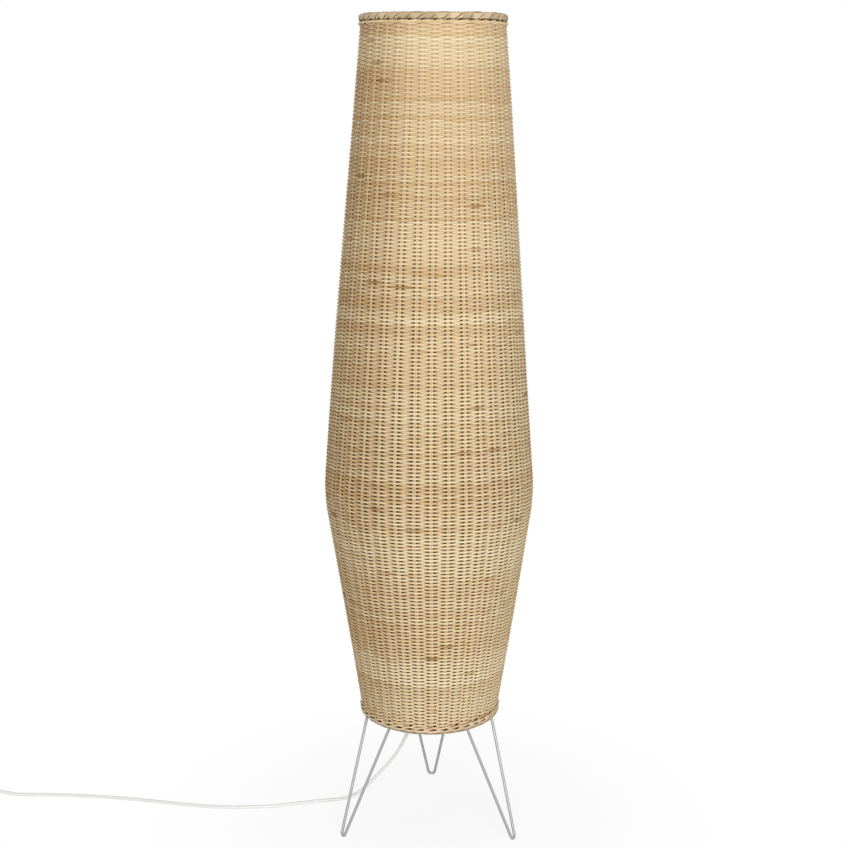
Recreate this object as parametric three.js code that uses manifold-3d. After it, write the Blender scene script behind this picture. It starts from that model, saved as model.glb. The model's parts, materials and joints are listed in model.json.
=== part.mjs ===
// Rattan floor lamp: a tall woven shade that stands over a wire base with three hairpin legs.
// Lengths are millimetres, +Z is up, the floor is z = 0, the lamp's axis is x = y = 0 and the front faces -Y.
// The shade lifts off, the bulb unscrews and the rocker of the cord's switch tips.

import * as THREE from 'three';
import { mergeVertices } from 'three/addons/utils/BufferGeometryUtils.js';
import Module from 'manifold-3d';

const wasm = await Module();
wasm.setup();

// Clearances
const seatGap = 0.3;
const overrun = 5;

// Shade outline, measured on the outside of the weave
const shadeTopHeight = 1360;
const shadeBottomHeight = 202.5;
const shadeTopRadius = 115.6;
const shadeBottomRadius = 116.7;
const bellyHeight = 587;
const bellyRadius = 177;
const bellyBlend = 34;
const upperBulge = 1.4;

// Weave: upright stakes in pairs, with round reed woven over one pair and under the next
const stakePairCount = 37;
const stakeDiameter = 2.8;
const reedDiameter = 3;
const wallBetweenPairsShare = 0.36;

// Top border: the stake ends bent over, above a twisted band
const topBorderHeight = 11.5;
const topBorderWidth = 9;
const topBandHeight = 6.5;
const topBandWidth = 11.6;
const topBandProud = 1.2;

// Bottom border: the lower stake ends turned in, under a twisted band
const bottomBorderHeight = 9;
const bottomBorderWidth = 14;
const bottomBandHeight = 5.5;
const bottomBandWidth = 12.4;
const bottomBandProud = 2;
const strandReliefShare = 0.14;

// Wire base
const wireDiameter = 5;
const footCircleRadius = 168;
const footBendRadius = 6;
const footFlat = 0.5;
const ringHeight = 212;
const wireSplayAngle = THREE.MathUtils.degToRad(24.5);
const wireTopRadius = 103.2;
const wireEndAboveRing = 3;
const legAngles = {
  leg_back: THREE.MathUtils.degToRad(90),
  leg_front_left: THREE.MathUtils.degToRad(210),
  leg_front_right: THREE.MathUtils.degToRad(330),
};

// Cross bar: a flat strip across the ring with a raised bridge that carries the lamp holder
const barWidth = 12;
const barThickness = 2.5;
const barBendRadius = 5;
const bridgeHeight = 58;
const bridgeWidth = 56;

// Threaded nipple with its two nuts
const nippleDiameter = 9.7;
const nippleBoreDiameter = 7;
const nippleBelowBar = 11;
const nippleAboveBar = 10;
const threadClearance = 0.3;
const nutAcrossFlats = 14;
const nutThickness = 3.5;

// Cord grip under the nipple
const gripLength = 26;
const gripSocketDepth = 6;
const gripTopRadius = 7.5;
const gripEndRadius = 4.4;
const gripRidgeDepth = 0.5;
const gripRidges = 4;

// Lamp holder
const holderCapHeight = 24;
const holderHubRadius = 10;
const holderRadius = 19.6;
const holderWall = 2.4;
const capFloor = 3;
const shellHeight = 37;
const shellMouthRadius = 14.4;
const shellLipRadius = 17.2;
const shellRibCount = 24;
const shellRibDepth = 0.7;
const blockHeight = 8;
const blockRadius = 15;
const contactThickness = 0.8;
const contactWidth = 6;
const contactRise = 4;
const terminalScrewRadius = 2.2;
const terminalScrewLength = 3;
const terminalSpread = 8;

// Bulb
const bulbRadius = 30;
const bulbNeckRadius = 13.6;
const bulbGlassHeight = 79;
const bulbGlassWall = 1.2;
const screwCapRadius = 13;
const screwCapHeight = 22;
const screwCapWall = 0.8;
const screwCapEdge = 2.4;
const bulbShoulderAngle = THREE.MathUtils.degToRad(-36);
const insulatorHeight = 4;
const insulatorEndRadius = 6;
const tipContactRadius = 4.6;
const tipContactHeight = 1.4;

// Cord
const cordDiameter = 6;
const coreDiameter = 2;
const coilTurns = 3.5;
const coilReverseTurn = 1.75;
const coilOuterRadius = 37.3;
const coilPitch = 6.6;
const coilLayerRise = 6.5;
const coilLowHeight = 4.5;
const coilCentreX = -925;
const coilLeadIn = 36;
const coilLeadOut = 32;
const tieThickness = 1.2;
const tieWidth = 7;
const tieClearance = 0.6;

// Switch in the cord
const switchLength = 62;
const switchWidth = 27;
const switchHeight = 20;
const switchSplitHeight = 9;
const switchCornerRadius = 9;
const switchEdge = 1.6;
const rockerRadius = 9.6;
const rockerWidth = 10;
const rockerPivotHeight = 14.5;
const rockerEdgeRise = 5;
const rockerDip = 2.4;
const rockerTilt = THREE.MathUtils.degToRad(12);
const rockerClearance = 0.6;
const pivotPinRadius = 1.5;
const pivotPinReach = 1.6;
const closingScrewRadius = 1.4;
const closingScrewHeadRadius = 2.6;
const closingScrewHeadHeight = 1.8;
const closingScrewSpread = 46;
const reliefLength = 18;
const reliefStartRadius = 5;
const reliefEndRadius = 4;

// Plug with two round pins
const plugWidth = 35;
const plugNeckWidth = 14;
const plugLength = 36;
const plugShoulder = 14;
const plugThickness = 13.7;
const plugEdge = 1.6;
const pinDiameter = 4;
const pinLength = 19;
const pinSpacing = 18.6;
const plugReliefLength = 22;

// The cord's way from the grip over the floor to the switch: x, y, z, chosen by hand
const cordRoute = [
  [0, 0, 229], [-1.5, 1, 220], [-6, 4, 208.5], [-12.5, 8, 197], [-20, 12.5, 184], [-28, 17, 168],
  [-35.5, 21.5, 152], [-43, 26, 135], [-51, 30.5, 117], [-60, 34, 99.5], [-72, 37.5, 82],
  [-86, 40.5, 65], [-100, 43, 48], [-114.5, 45.5, 31.5], [-130, 48, 17.5], [-146, 50, 8],
  [-164, 50, 3.8], [-183, 47, 3], [-210, 40, 3], [-245, 29, 3], [-285, 19, 3], [-330, 14, 3],
  [-375, 13, 3], [-420, 18, 3], [-470, 27, 3], [-530, 38, 3], [-600, 47, 3], [-670, 51, 3],
  [-725, 50.5, 3], [-750, 50, 3.9], [-768, 50, 6.6], [-782, 50, 9],
];

// How finely round things are divided
const columnsPerPair = 4;
const bandColumnsPerPair = 2;
const borderColumnsPerPair = 3;
const bulgeSteps = 2;
const strandPoints = 6;
const wireSides = 10;
const bendSteps = 10;
const turnedSteps = 20;
const ringSteps = 44;
const cordSides = 8;
const coilSides = 6;
const coilStepsPerTurn = 24;
const cordSteps = 68;
const leadSteps = 5;

const rattan = new THREE.MeshStandardMaterial({ color: 0xdcc394, roughness: 0.7, metalness: 0 });
const borderRattan = new THREE.MeshStandardMaterial({ color: 0xcfb384, roughness: 0.7, metalness: 0 });
const satinWire = new THREE.MeshStandardMaterial({ color: 0xb4b4b4, roughness: 0.35, metalness: 0.8 });
const zincSteel = new THREE.MeshStandardMaterial({ color: 0xc2c4c6, roughness: 0.4, metalness: 0.9 });
const brass = new THREE.MeshStandardMaterial({ color: 0xc8a75a, roughness: 0.3, metalness: 1 });
const whitePlastic = new THREE.MeshStandardMaterial({ color: 0xeeeeea, roughness: 0.45, metalness: 0 });
const whiteCord = new THREE.MeshStandardMaterial({ color: 0xe9e9e7, roughness: 0.5, metalness: 0 });
const ceramic = new THREE.MeshStandardMaterial({ color: 0xe6e0d4, roughness: 0.3, metalness: 0 });
const opalGlass = new THREE.MeshStandardMaterial({ color: 0xf6f3ea, roughness: 0.25, metalness: 0 });
const blackGlass = new THREE.MeshStandardMaterial({ color: 0x18181a, roughness: 0.15, metalness: 0 });

// A line through given points, whose samples are the points themselves
class StationLine extends THREE.Curve {
  constructor(stations) {
    super();
    this.stations = stations;
  }

  getPoint(share, target = new THREE.Vector3()) {
    const place = share * (this.stations.length - 1);
    const before = Math.min(Math.floor(place), this.stations.length - 2);
    return target.lerpVectors(this.stations[before], this.stations[before + 1], place - before);
  }

  getPointAt(share, target) {
    return this.getPoint(share, target);
  }

  getTangentAt(share, target = new THREE.Vector3()) {
    const last = this.stations.length - 1;
    const here = Math.round(share * last);
    const from = this.stations[Math.max(here - 1, 0)];
    const to = this.stations[Math.min(here + 1, last)];
    return target.subVectors(to, from).normalize();
  }
}

// A share from 0 to 1 that starts and ends gently
function ease(share) {
  return share * share * (3 - 2 * share);
}

function circleShape(radius, sides) {
  const points = [];
  for (let side = 0; side < sides; side += 1) {
    const angle = (side / sides) * Math.PI * 2;
    points.push(new THREE.Vector2(Math.cos(angle), Math.sin(angle)).multiplyScalar(radius));
  }
  return new THREE.Shape(points);
}

// A round wire or cord along a list of stations
function tube(stations, diameter, sides) {
  return new THREE.ExtrudeGeometry(circleShape(diameter / 2, sides), {
    steps: stations.length - 1,
    extrudePath: new StationLine(stations),
  });
}

// A body of revolution about Z from [radius, height] points that run up the outside
function turned(profile, steps = turnedSteps) {
  const points = profile.map(([radius, height]) => new THREE.Vector2(radius, height));
  return new THREE.LatheGeometry(points, steps).rotateX(Math.PI / 2);
}

// A body of revolution with a bore: the profile closes on itself
function turnedHollow(profile, steps = turnedSteps) {
  return turned([...profile, profile[0]], steps);
}

// A closed ring about Z; sectionAt gives the section's [radius, height] points, anticlockwise, at an angle
function ringSolid(columns, sectionAt) {
  const sections = [];
  for (let column = 0; column < columns; column += 1) {
    sections.push(sectionAt((column / columns) * Math.PI * 2));
  }
  const count = sections[0].length;
  const positions = [];
  sections.forEach((section, column) => {
    const angle = (column / columns) * Math.PI * 2;
    for (const [radius, height] of section) {
      positions.push(radius * Math.cos(angle), radius * Math.sin(angle), height);
    }
  });
  const faces = [];
  for (let column = 0; column < columns; column += 1) {
    const next = (column + 1) % columns;
    for (let point = 0; point < count; point += 1) {
      const above = (point + 1) % count;
      const [a, b] = [column * count + point, next * count + point];
      const [c, d] = [next * count + above, column * count + above];
      faces.push(a, b, c, a, c, d);
    }
  }
  const geometry = new THREE.BufferGeometry();
  geometry.setAttribute('position', new THREE.Float32BufferAttribute(positions, 3));
  geometry.setIndex(faces);
  return geometry;
}

function asSolid(geometry) {
  const bare = geometry.clone();
  bare.deleteAttribute('normal');
  bare.deleteAttribute('uv');
  const merged = mergeVertices(bare);
  return new wasm.Manifold(new wasm.Mesh({
    numProp: 3,
    vertProperties: new Float32Array(merged.attributes.position.array),
    triVerts: new Uint32Array(merged.index.array),
  }));
}

function asGeometry(solid) {
  const mesh = solid.getMesh();
  const geometry = new THREE.BufferGeometry();
  geometry.setAttribute('position', new THREE.BufferAttribute(mesh.vertProperties, 3));
  geometry.setIndex(new THREE.BufferAttribute(mesh.triVerts, 1));
  return geometry;
}

function cut(geometry, ...tools) {
  return asGeometry(tools.reduce((solid, tool) => solid.subtract(asSolid(tool)), asSolid(geometry)));
}

function joined(geometry, ...others) {
  return asGeometry(others.reduce((solid, other) => solid.add(asSolid(other)), asSolid(geometry)));
}

// An upright cylinder that stands on height
function post(radius, length, height = 0, steps = turnedSteps) {
  return new THREE.CylinderGeometry(radius, radius, length, steps)
    .rotateX(Math.PI / 2)
    .translate(0, 0, height + length / 2);
}

// The outline of a strip bent at its corners, from the middle line's [along, height] corners
function bentStrip(corners, thickness, bendRadius) {
  const line = corners.map(([along, height]) => new THREE.Vector2(along, height));
  const sides = [[], []];
  const add = (point, normal) => {
    sides[0].push(point.clone().addScaledVector(normal, thickness / 2));
    sides[1].push(point.clone().addScaledVector(normal, -thickness / 2));
  };
  const normalOf = (direction) => new THREE.Vector2(-direction.y, direction.x);
  line.forEach((corner, index) => {
    const into = index > 0 ? corner.clone().sub(line[index - 1]).normalize() : null;
    const out = index < line.length - 1 ? line[index + 1].clone().sub(corner).normalize() : null;
    if (!into || !out) {
      add(corner, normalOf(into ?? out));
      return;
    }
    const turn = Math.atan2(into.cross(out), into.dot(out));
    const side = Math.sign(turn);
    const back = bendRadius * Math.tan(Math.abs(turn) / 2);
    const start = corner.clone().addScaledVector(into, -back);
    const centre = start.clone().addScaledVector(normalOf(into), side * bendRadius);
    for (let step = 0; step <= bendSteps / 2; step += 1) {
      const direction = into.clone().rotateAround(new THREE.Vector2(), (turn * step) / (bendSteps / 2));
      const normal = normalOf(direction);
      add(centre.clone().addScaledVector(normal, -side * bendRadius), normal);
    }
  });
  return new THREE.Shape([...sides[1], ...sides[0].reverse()]);
}

function roundedRectangle(length, width, radius) {
  const [x, y] = [length / 2 - radius, width / 2 - radius];
  const shape = new THREE.Shape();
  shape.absarc(x, y, radius, 0, Math.PI / 2);
  shape.absarc(-x, y, radius, Math.PI / 2, Math.PI);
  shape.absarc(-x, -y, radius, Math.PI, Math.PI * 1.5);
  shape.absarc(x, -y, radius, Math.PI * 1.5, Math.PI * 2);
  return shape;
}

// Shade

const stakeHalfWall = stakeDiameter / 2 + reedDiameter;

// Outside radius of the weave: a straight cone, a rounded bend at the belly and a cone that bulges a little
function shadeRadius(height) {
  const lowerSlope = (bellyRadius - shadeBottomRadius) / (bellyHeight - shadeBottomHeight);
  const upperSlope = (shadeTopRadius - bellyRadius) / (shadeTopHeight - bellyHeight);
  const past = height - bellyHeight;
  const upperShare = Math.max(0, past / (shadeTopHeight - bellyHeight));
  const bulge = upperBulge * 4 * upperShare * (1 - upperShare);
  if (past <= -bellyBlend) return bellyRadius + past * lowerSlope;
  if (past >= bellyBlend) return bellyRadius + past * upperSlope + bulge;
  const across = (past + bellyBlend) / (2 * bellyBlend);
  const start = bellyRadius - bellyBlend * lowerSlope;
  return start + 2 * bellyBlend * (lowerSlope * across + ((upperSlope - lowerSlope) * across ** 2) / 2) + bulge;
}

const wallBottom = shadeBottomHeight + bottomBorderHeight + bottomBandHeight + 2 * seatGap;
const wallTop = shadeTopHeight - topBorderHeight - topBandHeight - 2 * seatGap;

// The woven wall, thick at each pair of stakes and thin between two pairs, where the reeds cross
function shadeWall() {
  const bulgeHeights = Array.from({ length: bulgeSteps - 1 }, (_, index) => (
    THREE.MathUtils.lerp(bellyHeight + bellyBlend, wallTop, (index + 1) / bulgeSteps)
  ));
  const heights = [
    wallBottom,
    bellyHeight - bellyBlend,
    bellyHeight - bellyBlend / 3,
    bellyHeight + bellyBlend / 3,
    bellyHeight + bellyBlend,
    ...bulgeHeights,
    wallTop,
  ];
  return ringSolid(stakePairCount * columnsPerPair, (angle) => {
    const wave = (1 + Math.cos(stakePairCount * angle)) / 2;
    const halfWall = stakeHalfWall * (wallBetweenPairsShare + (1 - wallBetweenPairsShare) * wave);
    const outside = heights.map((height) => [shadeRadius(height) - stakeHalfWall + halfWall, height]);
    const inside = heights.map((height) => [shadeRadius(height) - stakeHalfWall - halfWall, height]);
    return [...outside, ...inside.reverse()];
  });
}

// A band of strands that wind round it: an oval section whose bulges turn as it goes round
function strandBand(outerRadius, lowHeight, width, height, columnsPerTurn, bulges, turnsPerPair) {
  return ringSolid(stakePairCount * columnsPerTurn, (angle) => {
    const section = [];
    for (let point = 0; point < strandPoints; point += 1) {
      const around = ((point + 0.5) / strandPoints) * Math.PI * 2;
      const relief = (1 - Math.cos(bulges * around - turnsPerPair * stakePairCount * angle)) / 2;
      const reach = 1 - strandReliefShare * relief;
      section.push([
        outerRadius - width / 2 + (width / 2) * reach * Math.cos(around),
        lowHeight + height / 2 + (height / 2) * reach * Math.sin(around),
      ]);
    }
    return section;
  });
}

// Where a leg's wire runs, and how far its middle is from the lamp's axis at a height
const wireTopAlong = wireTopRadius * Math.cos(wireSplayAngle);
const wireTopAside = wireTopRadius * Math.sin(wireSplayAngle);

function wireRadius(height) {
  const share = (ringHeight - height) / ringHeight;
  const along = wireTopAlong + (footCircleRadius - wireTopAlong) * share;
  const aside = wireTopAside + (footBendRadius - wireTopAside) * share;
  return Math.hypot(along, aside);
}

// The bottom border's outer radius: its oval section rests against the outward slant of the wires
function bottomBorderRadius() {
  const middle = shadeBottomHeight + bottomBorderHeight / 2;
  const slant = Math.atan((wireRadius(shadeBottomHeight) - wireRadius(middle)) / (middle - shadeBottomHeight));
  const ovalReach = Math.hypot(bottomBorderWidth * Math.cos(slant), bottomBorderHeight * Math.sin(slant)) / 2;
  const fromWire = (wireDiameter / 2 + seatGap + ovalReach) / Math.cos(slant);
  return wireRadius(middle) + fromWire + bottomBorderWidth / 2;
}

function shadePieces() {
  const bottomBandOutside = shadeRadius(wallBottom) + bottomBandProud;
  const topBandLow = wallTop + seatGap;
  const topBandOutside = shadeRadius(wallTop) + topBandProud;
  const topBorderLow = shadeTopHeight - topBorderHeight;
  const topBorderOutside = shadeRadius(wallTop) - stakeHalfWall + topBorderWidth / 2;
  return [
    ['shade_wall', shadeWall(), rattan],
    ['top_band', strandBand(topBandOutside, topBandLow, topBandWidth, topBandHeight,
      bandColumnsPerPair, 2, 1), borderRattan],
    ['top_border', strandBand(topBorderOutside, topBorderLow, topBorderWidth, topBorderHeight,
      borderColumnsPerPair, 1, -1), borderRattan],
    ['bottom_band', strandBand(bottomBandOutside, shadeBottomHeight + bottomBorderHeight + seatGap,
      bottomBandWidth, bottomBandHeight, bandColumnsPerPair, 2, 1), borderRattan],
    ['bottom_border', strandBand(bottomBorderRadius(), shadeBottomHeight, bottomBorderWidth,
      bottomBorderHeight, borderColumnsPerPair, 1, -1), borderRattan],
  ];
}

// Wire base

// A hairpin leg that points along +X: down one wire, round the foot and up the other
function hairpinLeg() {
  const foot = new THREE.Vector3(footCircleRadius, 0, wireDiameter / 2 - footFlat);
  const middleTop = new THREE.Vector3(wireTopAlong, 0, ringHeight);
  const up = middleTop.clone().sub(foot).normalize();
  const aside = new THREE.Vector3(0, 1, 0);
  const bendCentre = foot.clone().addScaledVector(up, footBendRadius);
  const rise = middleTop.clone().sub(bendCentre).length();
  const reach = Math.hypot(wireTopAside, rise);
  const startAngle = Math.atan2(rise, wireTopAside) - Math.acos(footBendRadius / reach);
  const at = (sideways, upwards) => bendCentre.clone()
    .addScaledVector(aside, sideways)
    .addScaledVector(up, upwards);
  const bend = [];
  for (let step = 0; step <= bendSteps; step += 1) {
    const angle = startAngle - ((Math.PI + 2 * startAngle) * step) / bendSteps;
    bend.push(at(footBendRadius * Math.cos(angle), footBendRadius * Math.sin(angle)));
  }
  const wire = at(wireTopAside, rise).sub(bend[0]);
  const longer = 1 + wireEndAboveRing / wire.z;
  const first = bend[0].clone().addScaledVector(wire, longer);
  const last = first.clone().setY(-first.y);
  const leg = tube([first, ...bend, last], wireDiameter, wireSides);
  const floor = new THREE.BoxGeometry(2 * footCircleRadius, 2 * wireTopRadius, overrun)
    .translate(footCircleRadius, 0, -overrun / 2);
  return cut(leg, floor);
}

const ringRadius = wireTopRadius - wireDiameter - seatGap;
const barLow = ringHeight + wireDiameter / 2 + seatGap;
const bridgeTop = barLow + bridgeHeight + barThickness;

function crossBar() {
  const low = barLow + barThickness / 2;
  const high = bridgeTop - barThickness / 2;
  const end = ringRadius + wireDiameter / 2;
  const outline = bentStrip([
    [-end, low],
    [-bridgeWidth / 2, low],
    [-bridgeWidth / 2, high],
    [bridgeWidth / 2, high],
    [bridgeWidth / 2, low],
    [end, low],
  ], barThickness, barBendRadius);
  const strip = new THREE.ExtrudeGeometry(outline, { depth: barWidth, bevelEnabled: false })
    .translate(0, 0, -barWidth / 2)
    .rotateX(Math.PI / 2)
    .rotateZ(Math.PI / 2);
  return cut(strip, post(nippleDiameter / 2 + threadClearance, barThickness + 2 * overrun,
    bridgeTop - barThickness - overrun));
}

function hexNut(height) {
  const outline = circleShape(nutAcrossFlats / Math.sqrt(3), 6);
  outline.holes.push(circleShape(nippleDiameter / 2 + threadClearance, turnedSteps));
  return new THREE.ExtrudeGeometry(outline, { depth: nutThickness, bevelEnabled: false })
    .translate(0, 0, height);
}

const nippleLow = bridgeTop - barThickness - nippleBelowBar;
const nippleHigh = bridgeTop + nippleAboveBar;
const gripTop = nippleLow + gripSocketDepth - seatGap;
const gripLow = gripTop - gripLength;
const capLow = bridgeTop + nutThickness + 2 * seatGap;

function nipple() {
  const [outside, bore] = [nippleDiameter / 2, nippleBoreDiameter / 2];
  return turnedHollow([[outside, nippleLow], [outside, nippleHigh], [bore, nippleHigh], [bore, nippleLow]]);
}

// The grip screws over the nipple's end and tapers to the cord, with ridges that let it bend
function cordGrip() {
  const bore = cordDiameter / 2 + seatGap;
  const socket = nippleDiameter / 2 + threadClearance;
  const bodyLow = gripTop - gripSocketDepth - barThickness;
  const outside = [[gripEndRadius, gripLow]];
  for (let ridge = 1; ridge <= gripRidges; ridge += 1) {
    const [start, middle] = [(ridge - 0.6) / gripRidges, (ridge - 0.3) / gripRidges];
    const radiusAt = (share) => gripEndRadius + (gripTopRadius - gripEndRadius) * share ** 2;
    outside.push([radiusAt(start), gripLow + (bodyLow - gripLow) * start]);
    outside.push([radiusAt(middle) - gripRidgeDepth, gripLow + (bodyLow - gripLow) * middle]);
  }
  return turnedHollow([
    ...outside,
    [gripTopRadius, bodyLow],
    [gripTopRadius, gripTop],
    [socket, gripTop],
    [socket, nippleLow - seatGap],
    [bore, nippleLow - seatGap],
    [bore, gripLow],
  ]);
}

// Lamp holder

const blockLow = capLow + holderCapHeight - blockHeight / 2;
const blockTop = blockLow + blockHeight;
const shellLow = capLow + holderCapHeight + seatGap;
const shellTop = shellLow + shellHeight;

// The cap is a dome that screws onto the nipple and holds the contact block on an inner ledge
function holderCap() {
  const top = capLow + holderCapHeight;
  const hole = nippleDiameter / 2 + threadClearance;
  const ledge = blockLow - seatGap;
  const inside = holderRadius - holderWall;
  return turnedHollow([
    [holderHubRadius, capLow],
    [holderHubRadius + holderWall, capLow + capFloor / 2],
    [holderRadius - holderWall, capLow + holderCapHeight / 3],
    [holderRadius, capLow + (2 * holderCapHeight) / 3],
    [holderRadius, top],
    [inside, top],
    [inside, ledge],
    [blockRadius - holderWall, ledge],
    [holderHubRadius, capLow + capFloor + holderWall],
    [hole, capLow + capFloor],
    [hole, capLow],
  ]);
}

// The shell screws onto the cap and receives the bulb; grip ribs run up its outside
function holderShell() {
  const inner = blockRadius + seatGap;
  const mouth = shellMouthRadius;
  return ringSolid(2 * shellRibCount, (angle) => {
    const rib = (shellRibDepth * (1 + Math.cos(shellRibCount * angle))) / 2;
    return [
      [holderRadius - shellRibDepth, shellLow],
      [holderRadius - rib, shellLow + holderWall],
      [holderRadius - rib, shellTop - 3 * holderWall],
      [shellLipRadius + shellRibDepth, shellTop - holderWall],
      [shellLipRadius, shellTop],
      [mouth, shellTop],
      [mouth, blockTop + holderWall + seatGap],
      [inner, blockTop + seatGap],
      [inner, shellLow],
    ];
  });
}

const contactTop = blockTop + contactRise;

function contactBlock() {
  const block = post(blockRadius, blockHeight, blockLow);
  const slot = new THREE.BoxGeometry(contactWidth + 2 * seatGap, contactWidth + 2 * seatGap, blockHeight)
    .translate(0, 0, blockTop + blockHeight / 2 - contactThickness - seatGap);
  return cut(block, slot);
}

// A brass tongue that rises from the block to the middle of the bulb's tip
function centreContact() {
  const low = blockTop - contactThickness / 2;
  const outline = bentStrip([
    [-contactWidth / 2, low],
    [contactWidth / 4, low],
    [0, contactTop - contactThickness / 2],
    [-contactWidth / 3, contactTop - contactThickness / 2],
  ], contactThickness, contactThickness);
  return new THREE.ExtrudeGeometry(outline, { depth: contactWidth, bevelEnabled: false })
    .translate(0, 0, -contactWidth / 2)
    .rotateX(Math.PI / 2);
}

// A brass strip that stands on the block beside the bulb's screw cap
function sideContact() {
  const height = contactRise + insulatorHeight;
  return new THREE.BoxGeometry(contactThickness, contactWidth, height)
    .translate(shellMouthRadius - contactThickness, 0, blockTop + seatGap + height / 2);
}

function terminalScrew(side) {
  return post(terminalScrewRadius, terminalScrewLength, blockLow - seatGap - terminalScrewLength,
    turnedSteps / 2).translate(side * terminalSpread, 0, 0);
}

// The cord's sheath inside the grip and nipple, and the two cores that fan out to the terminals
function innerLead() {
  const sheathTop = capLow + capFloor + cordDiameter / 2;
  const sheath = post(cordDiameter / 2, sheathTop - gripLow, gripLow, cordSides);
  const cores = [-1, 1].map((side) => {
    const near = side * (coreDiameter / 2 + seatGap);
    const far = side * terminalSpread;
    const screwLow = blockLow - 2 * seatGap - terminalScrewLength;
    return tube([
      new THREE.Vector3(near, 0, sheathTop - coreDiameter),
      new THREE.Vector3(near, 0, sheathTop + coreDiameter),
      new THREE.Vector3(far, 0, screwLow - 2 * coreDiameter),
      new THREE.Vector3(far, 0, screwLow),
    ], coreDiameter, coilSides);
  });
  return joined(sheath, ...cores);
}

// Bulb

const tipLow = contactTop + seatGap;
const insulatorLow = tipLow + tipContactHeight + seatGap;
const screwCapLow = insulatorLow + insulatorHeight + seatGap;
const glassLow = screwCapLow + screwCapHeight + seatGap;

function tipContact() {
  return turned([
    [0, tipLow],
    [tipContactRadius - tipContactHeight, tipLow],
    [tipContactRadius, tipLow + tipContactHeight],
    [0, tipLow + tipContactHeight],
  ]);
}

function bulbInsulator() {
  const top = insulatorLow + insulatorHeight;
  const topRadius = screwCapRadius - screwCapEdge;
  return turned([[0, insulatorLow], [insulatorEndRadius, insulatorLow], [topRadius, top], [0, top]]);
}

// A thin metal cup with a rounded lower edge, open where the black glass and the bulb's neck close it
function screwCap() {
  const top = screwCapLow + screwCapHeight;
  const inside = screwCapRadius - screwCapWall;
  return turnedHollow([
    [screwCapRadius - screwCapEdge, screwCapLow],
    [screwCapRadius, screwCapLow + screwCapEdge],
    [screwCapRadius, top],
    [inside, top],
    [inside, screwCapLow + screwCapEdge],
    [inside - screwCapEdge, screwCapLow],
  ]);
}

// A pear-shaped bulb, open at its neck: a round head over a neck that flares from the screw cap
function bulbGlass() {
  const centre = glassLow + bulbGlassHeight - bulbRadius;
  const outline = [[screwCapRadius, glassLow], [bulbNeckRadius, glassLow + screwCapEdge]];
  const neckSteps = 4;
  const headSteps = 8;
  const headLow = centre + bulbRadius * Math.sin(bulbShoulderAngle);
  const headStart = bulbRadius * Math.cos(bulbShoulderAngle);
  for (let step = 1; step < neckSteps; step += 1) {
    const share = step / neckSteps;
    outline.push([
      bulbNeckRadius + (headStart - bulbNeckRadius) * ease(share) * (0.4 + 0.6 * share),
      glassLow + screwCapEdge + (headLow - glassLow - screwCapEdge) * share,
    ]);
  }
  for (let step = 0; step < headSteps; step += 1) {
    const angle = bulbShoulderAngle + ((Math.PI / 2 - bulbShoulderAngle) * step) / headSteps;
    outline.push([bulbRadius * Math.cos(angle), centre + bulbRadius * Math.sin(angle)]);
  }
  const inside = outline.map(([radius, height]) => [
    radius * (1 - bulbGlassWall / bulbRadius) - (height < centre ? bulbGlassWall : 0) / 2,
    height > centre ? centre + (height - centre) * (1 - bulbGlassWall / bulbRadius) : height,
  ]);
  return turned([
    [0, centre + bulbRadius - bulbGlassWall],
    ...inside.reverse(),
    ...outline,
    [0, centre + bulbRadius],
  ]);
}

// Cord, its coil and what is on it

const lastRoutePoint = cordRoute[cordRoute.length - 1];
const cordLine = lastRoutePoint[1];
const switchAxis = lastRoutePoint[2];
const runEnd = coilCentreX + coilLeadIn + switchLength + 2 * (reliefLength + 2 * seatGap);
const switchCentreX = runEnd - reliefLength - 2 * seatGap - switchLength / 2;
const coilCentreY = cordLine + coilOuterRadius;
const plugAxis = plugThickness / 2;
const plugReliefStart = coilCentreX + coilLeadOut + seatGap;

function cordRunStations() {
  const start = new THREE.Vector3(0, 0, gripLow - seatGap);
  const points = cordRoute.map((point) => new THREE.Vector3(...point));
  const end = new THREE.Vector3(runEnd, cordLine, switchAxis);
  return new THREE.CatmullRomCurve3([start, ...points, end]).getSpacedPoints(cordSteps);
}

// Lead in from the switch, turns that spiral in and out again in two layers, lead out to the plug
function coilStations() {
  const stations = [];
  const straight = cordDiameter;
  const lead = (fromX, toX, y, fromZ, toZ, straightFirst) => {
    const direction = Math.sign(toX - fromX);
    const low = straightFirst ? fromX + direction * straight : fromX;
    const high = straightFirst ? toX : toX - direction * straight;
    if (straightFirst) stations.push(new THREE.Vector3(fromX, y, fromZ));
    for (let step = 0; step <= leadSteps; step += 1) {
      const share = step / leadSteps;
      stations.push(new THREE.Vector3(low + (high - low) * share, y, fromZ + (toZ - fromZ) * ease(share)));
    }
    if (!straightFirst) stations.push(new THREE.Vector3(toX, y, toZ));
  };
  const highHeight = coilLowHeight + coilLayerRise;
  lead(coilCentreX + coilLeadIn, coilCentreX, cordLine, switchAxis, coilLowHeight, true);
  stations.pop();
  const steps = coilTurns * coilStepsPerTurn;
  for (let step = 0; step <= steps; step += 1) {
    const turn = step / coilStepsPerTurn;
    const inward = turn < coilReverseTurn ? turn : 2 * coilReverseTurn - turn;
    const radius = coilOuterRadius - coilPitch * inward;
    const angle = -Math.PI / 2 - turn * Math.PI * 2;
    const climb = THREE.MathUtils.clamp((turn - coilReverseTurn) * 2 + 0.5, 0, 1);
    stations.push(new THREE.Vector3(
      coilCentreX + radius * Math.cos(angle),
      coilCentreY + radius * Math.sin(angle),
      coilLowHeight + coilLayerRise * ease(climb),
    ));
  }
  const outLine = coilCentreY + coilOuterRadius;
  stations.pop();
  lead(coilCentreX, coilCentreX + coilLeadOut, outLine, highHeight, plugAxis, false);
  return stations;
}

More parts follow.
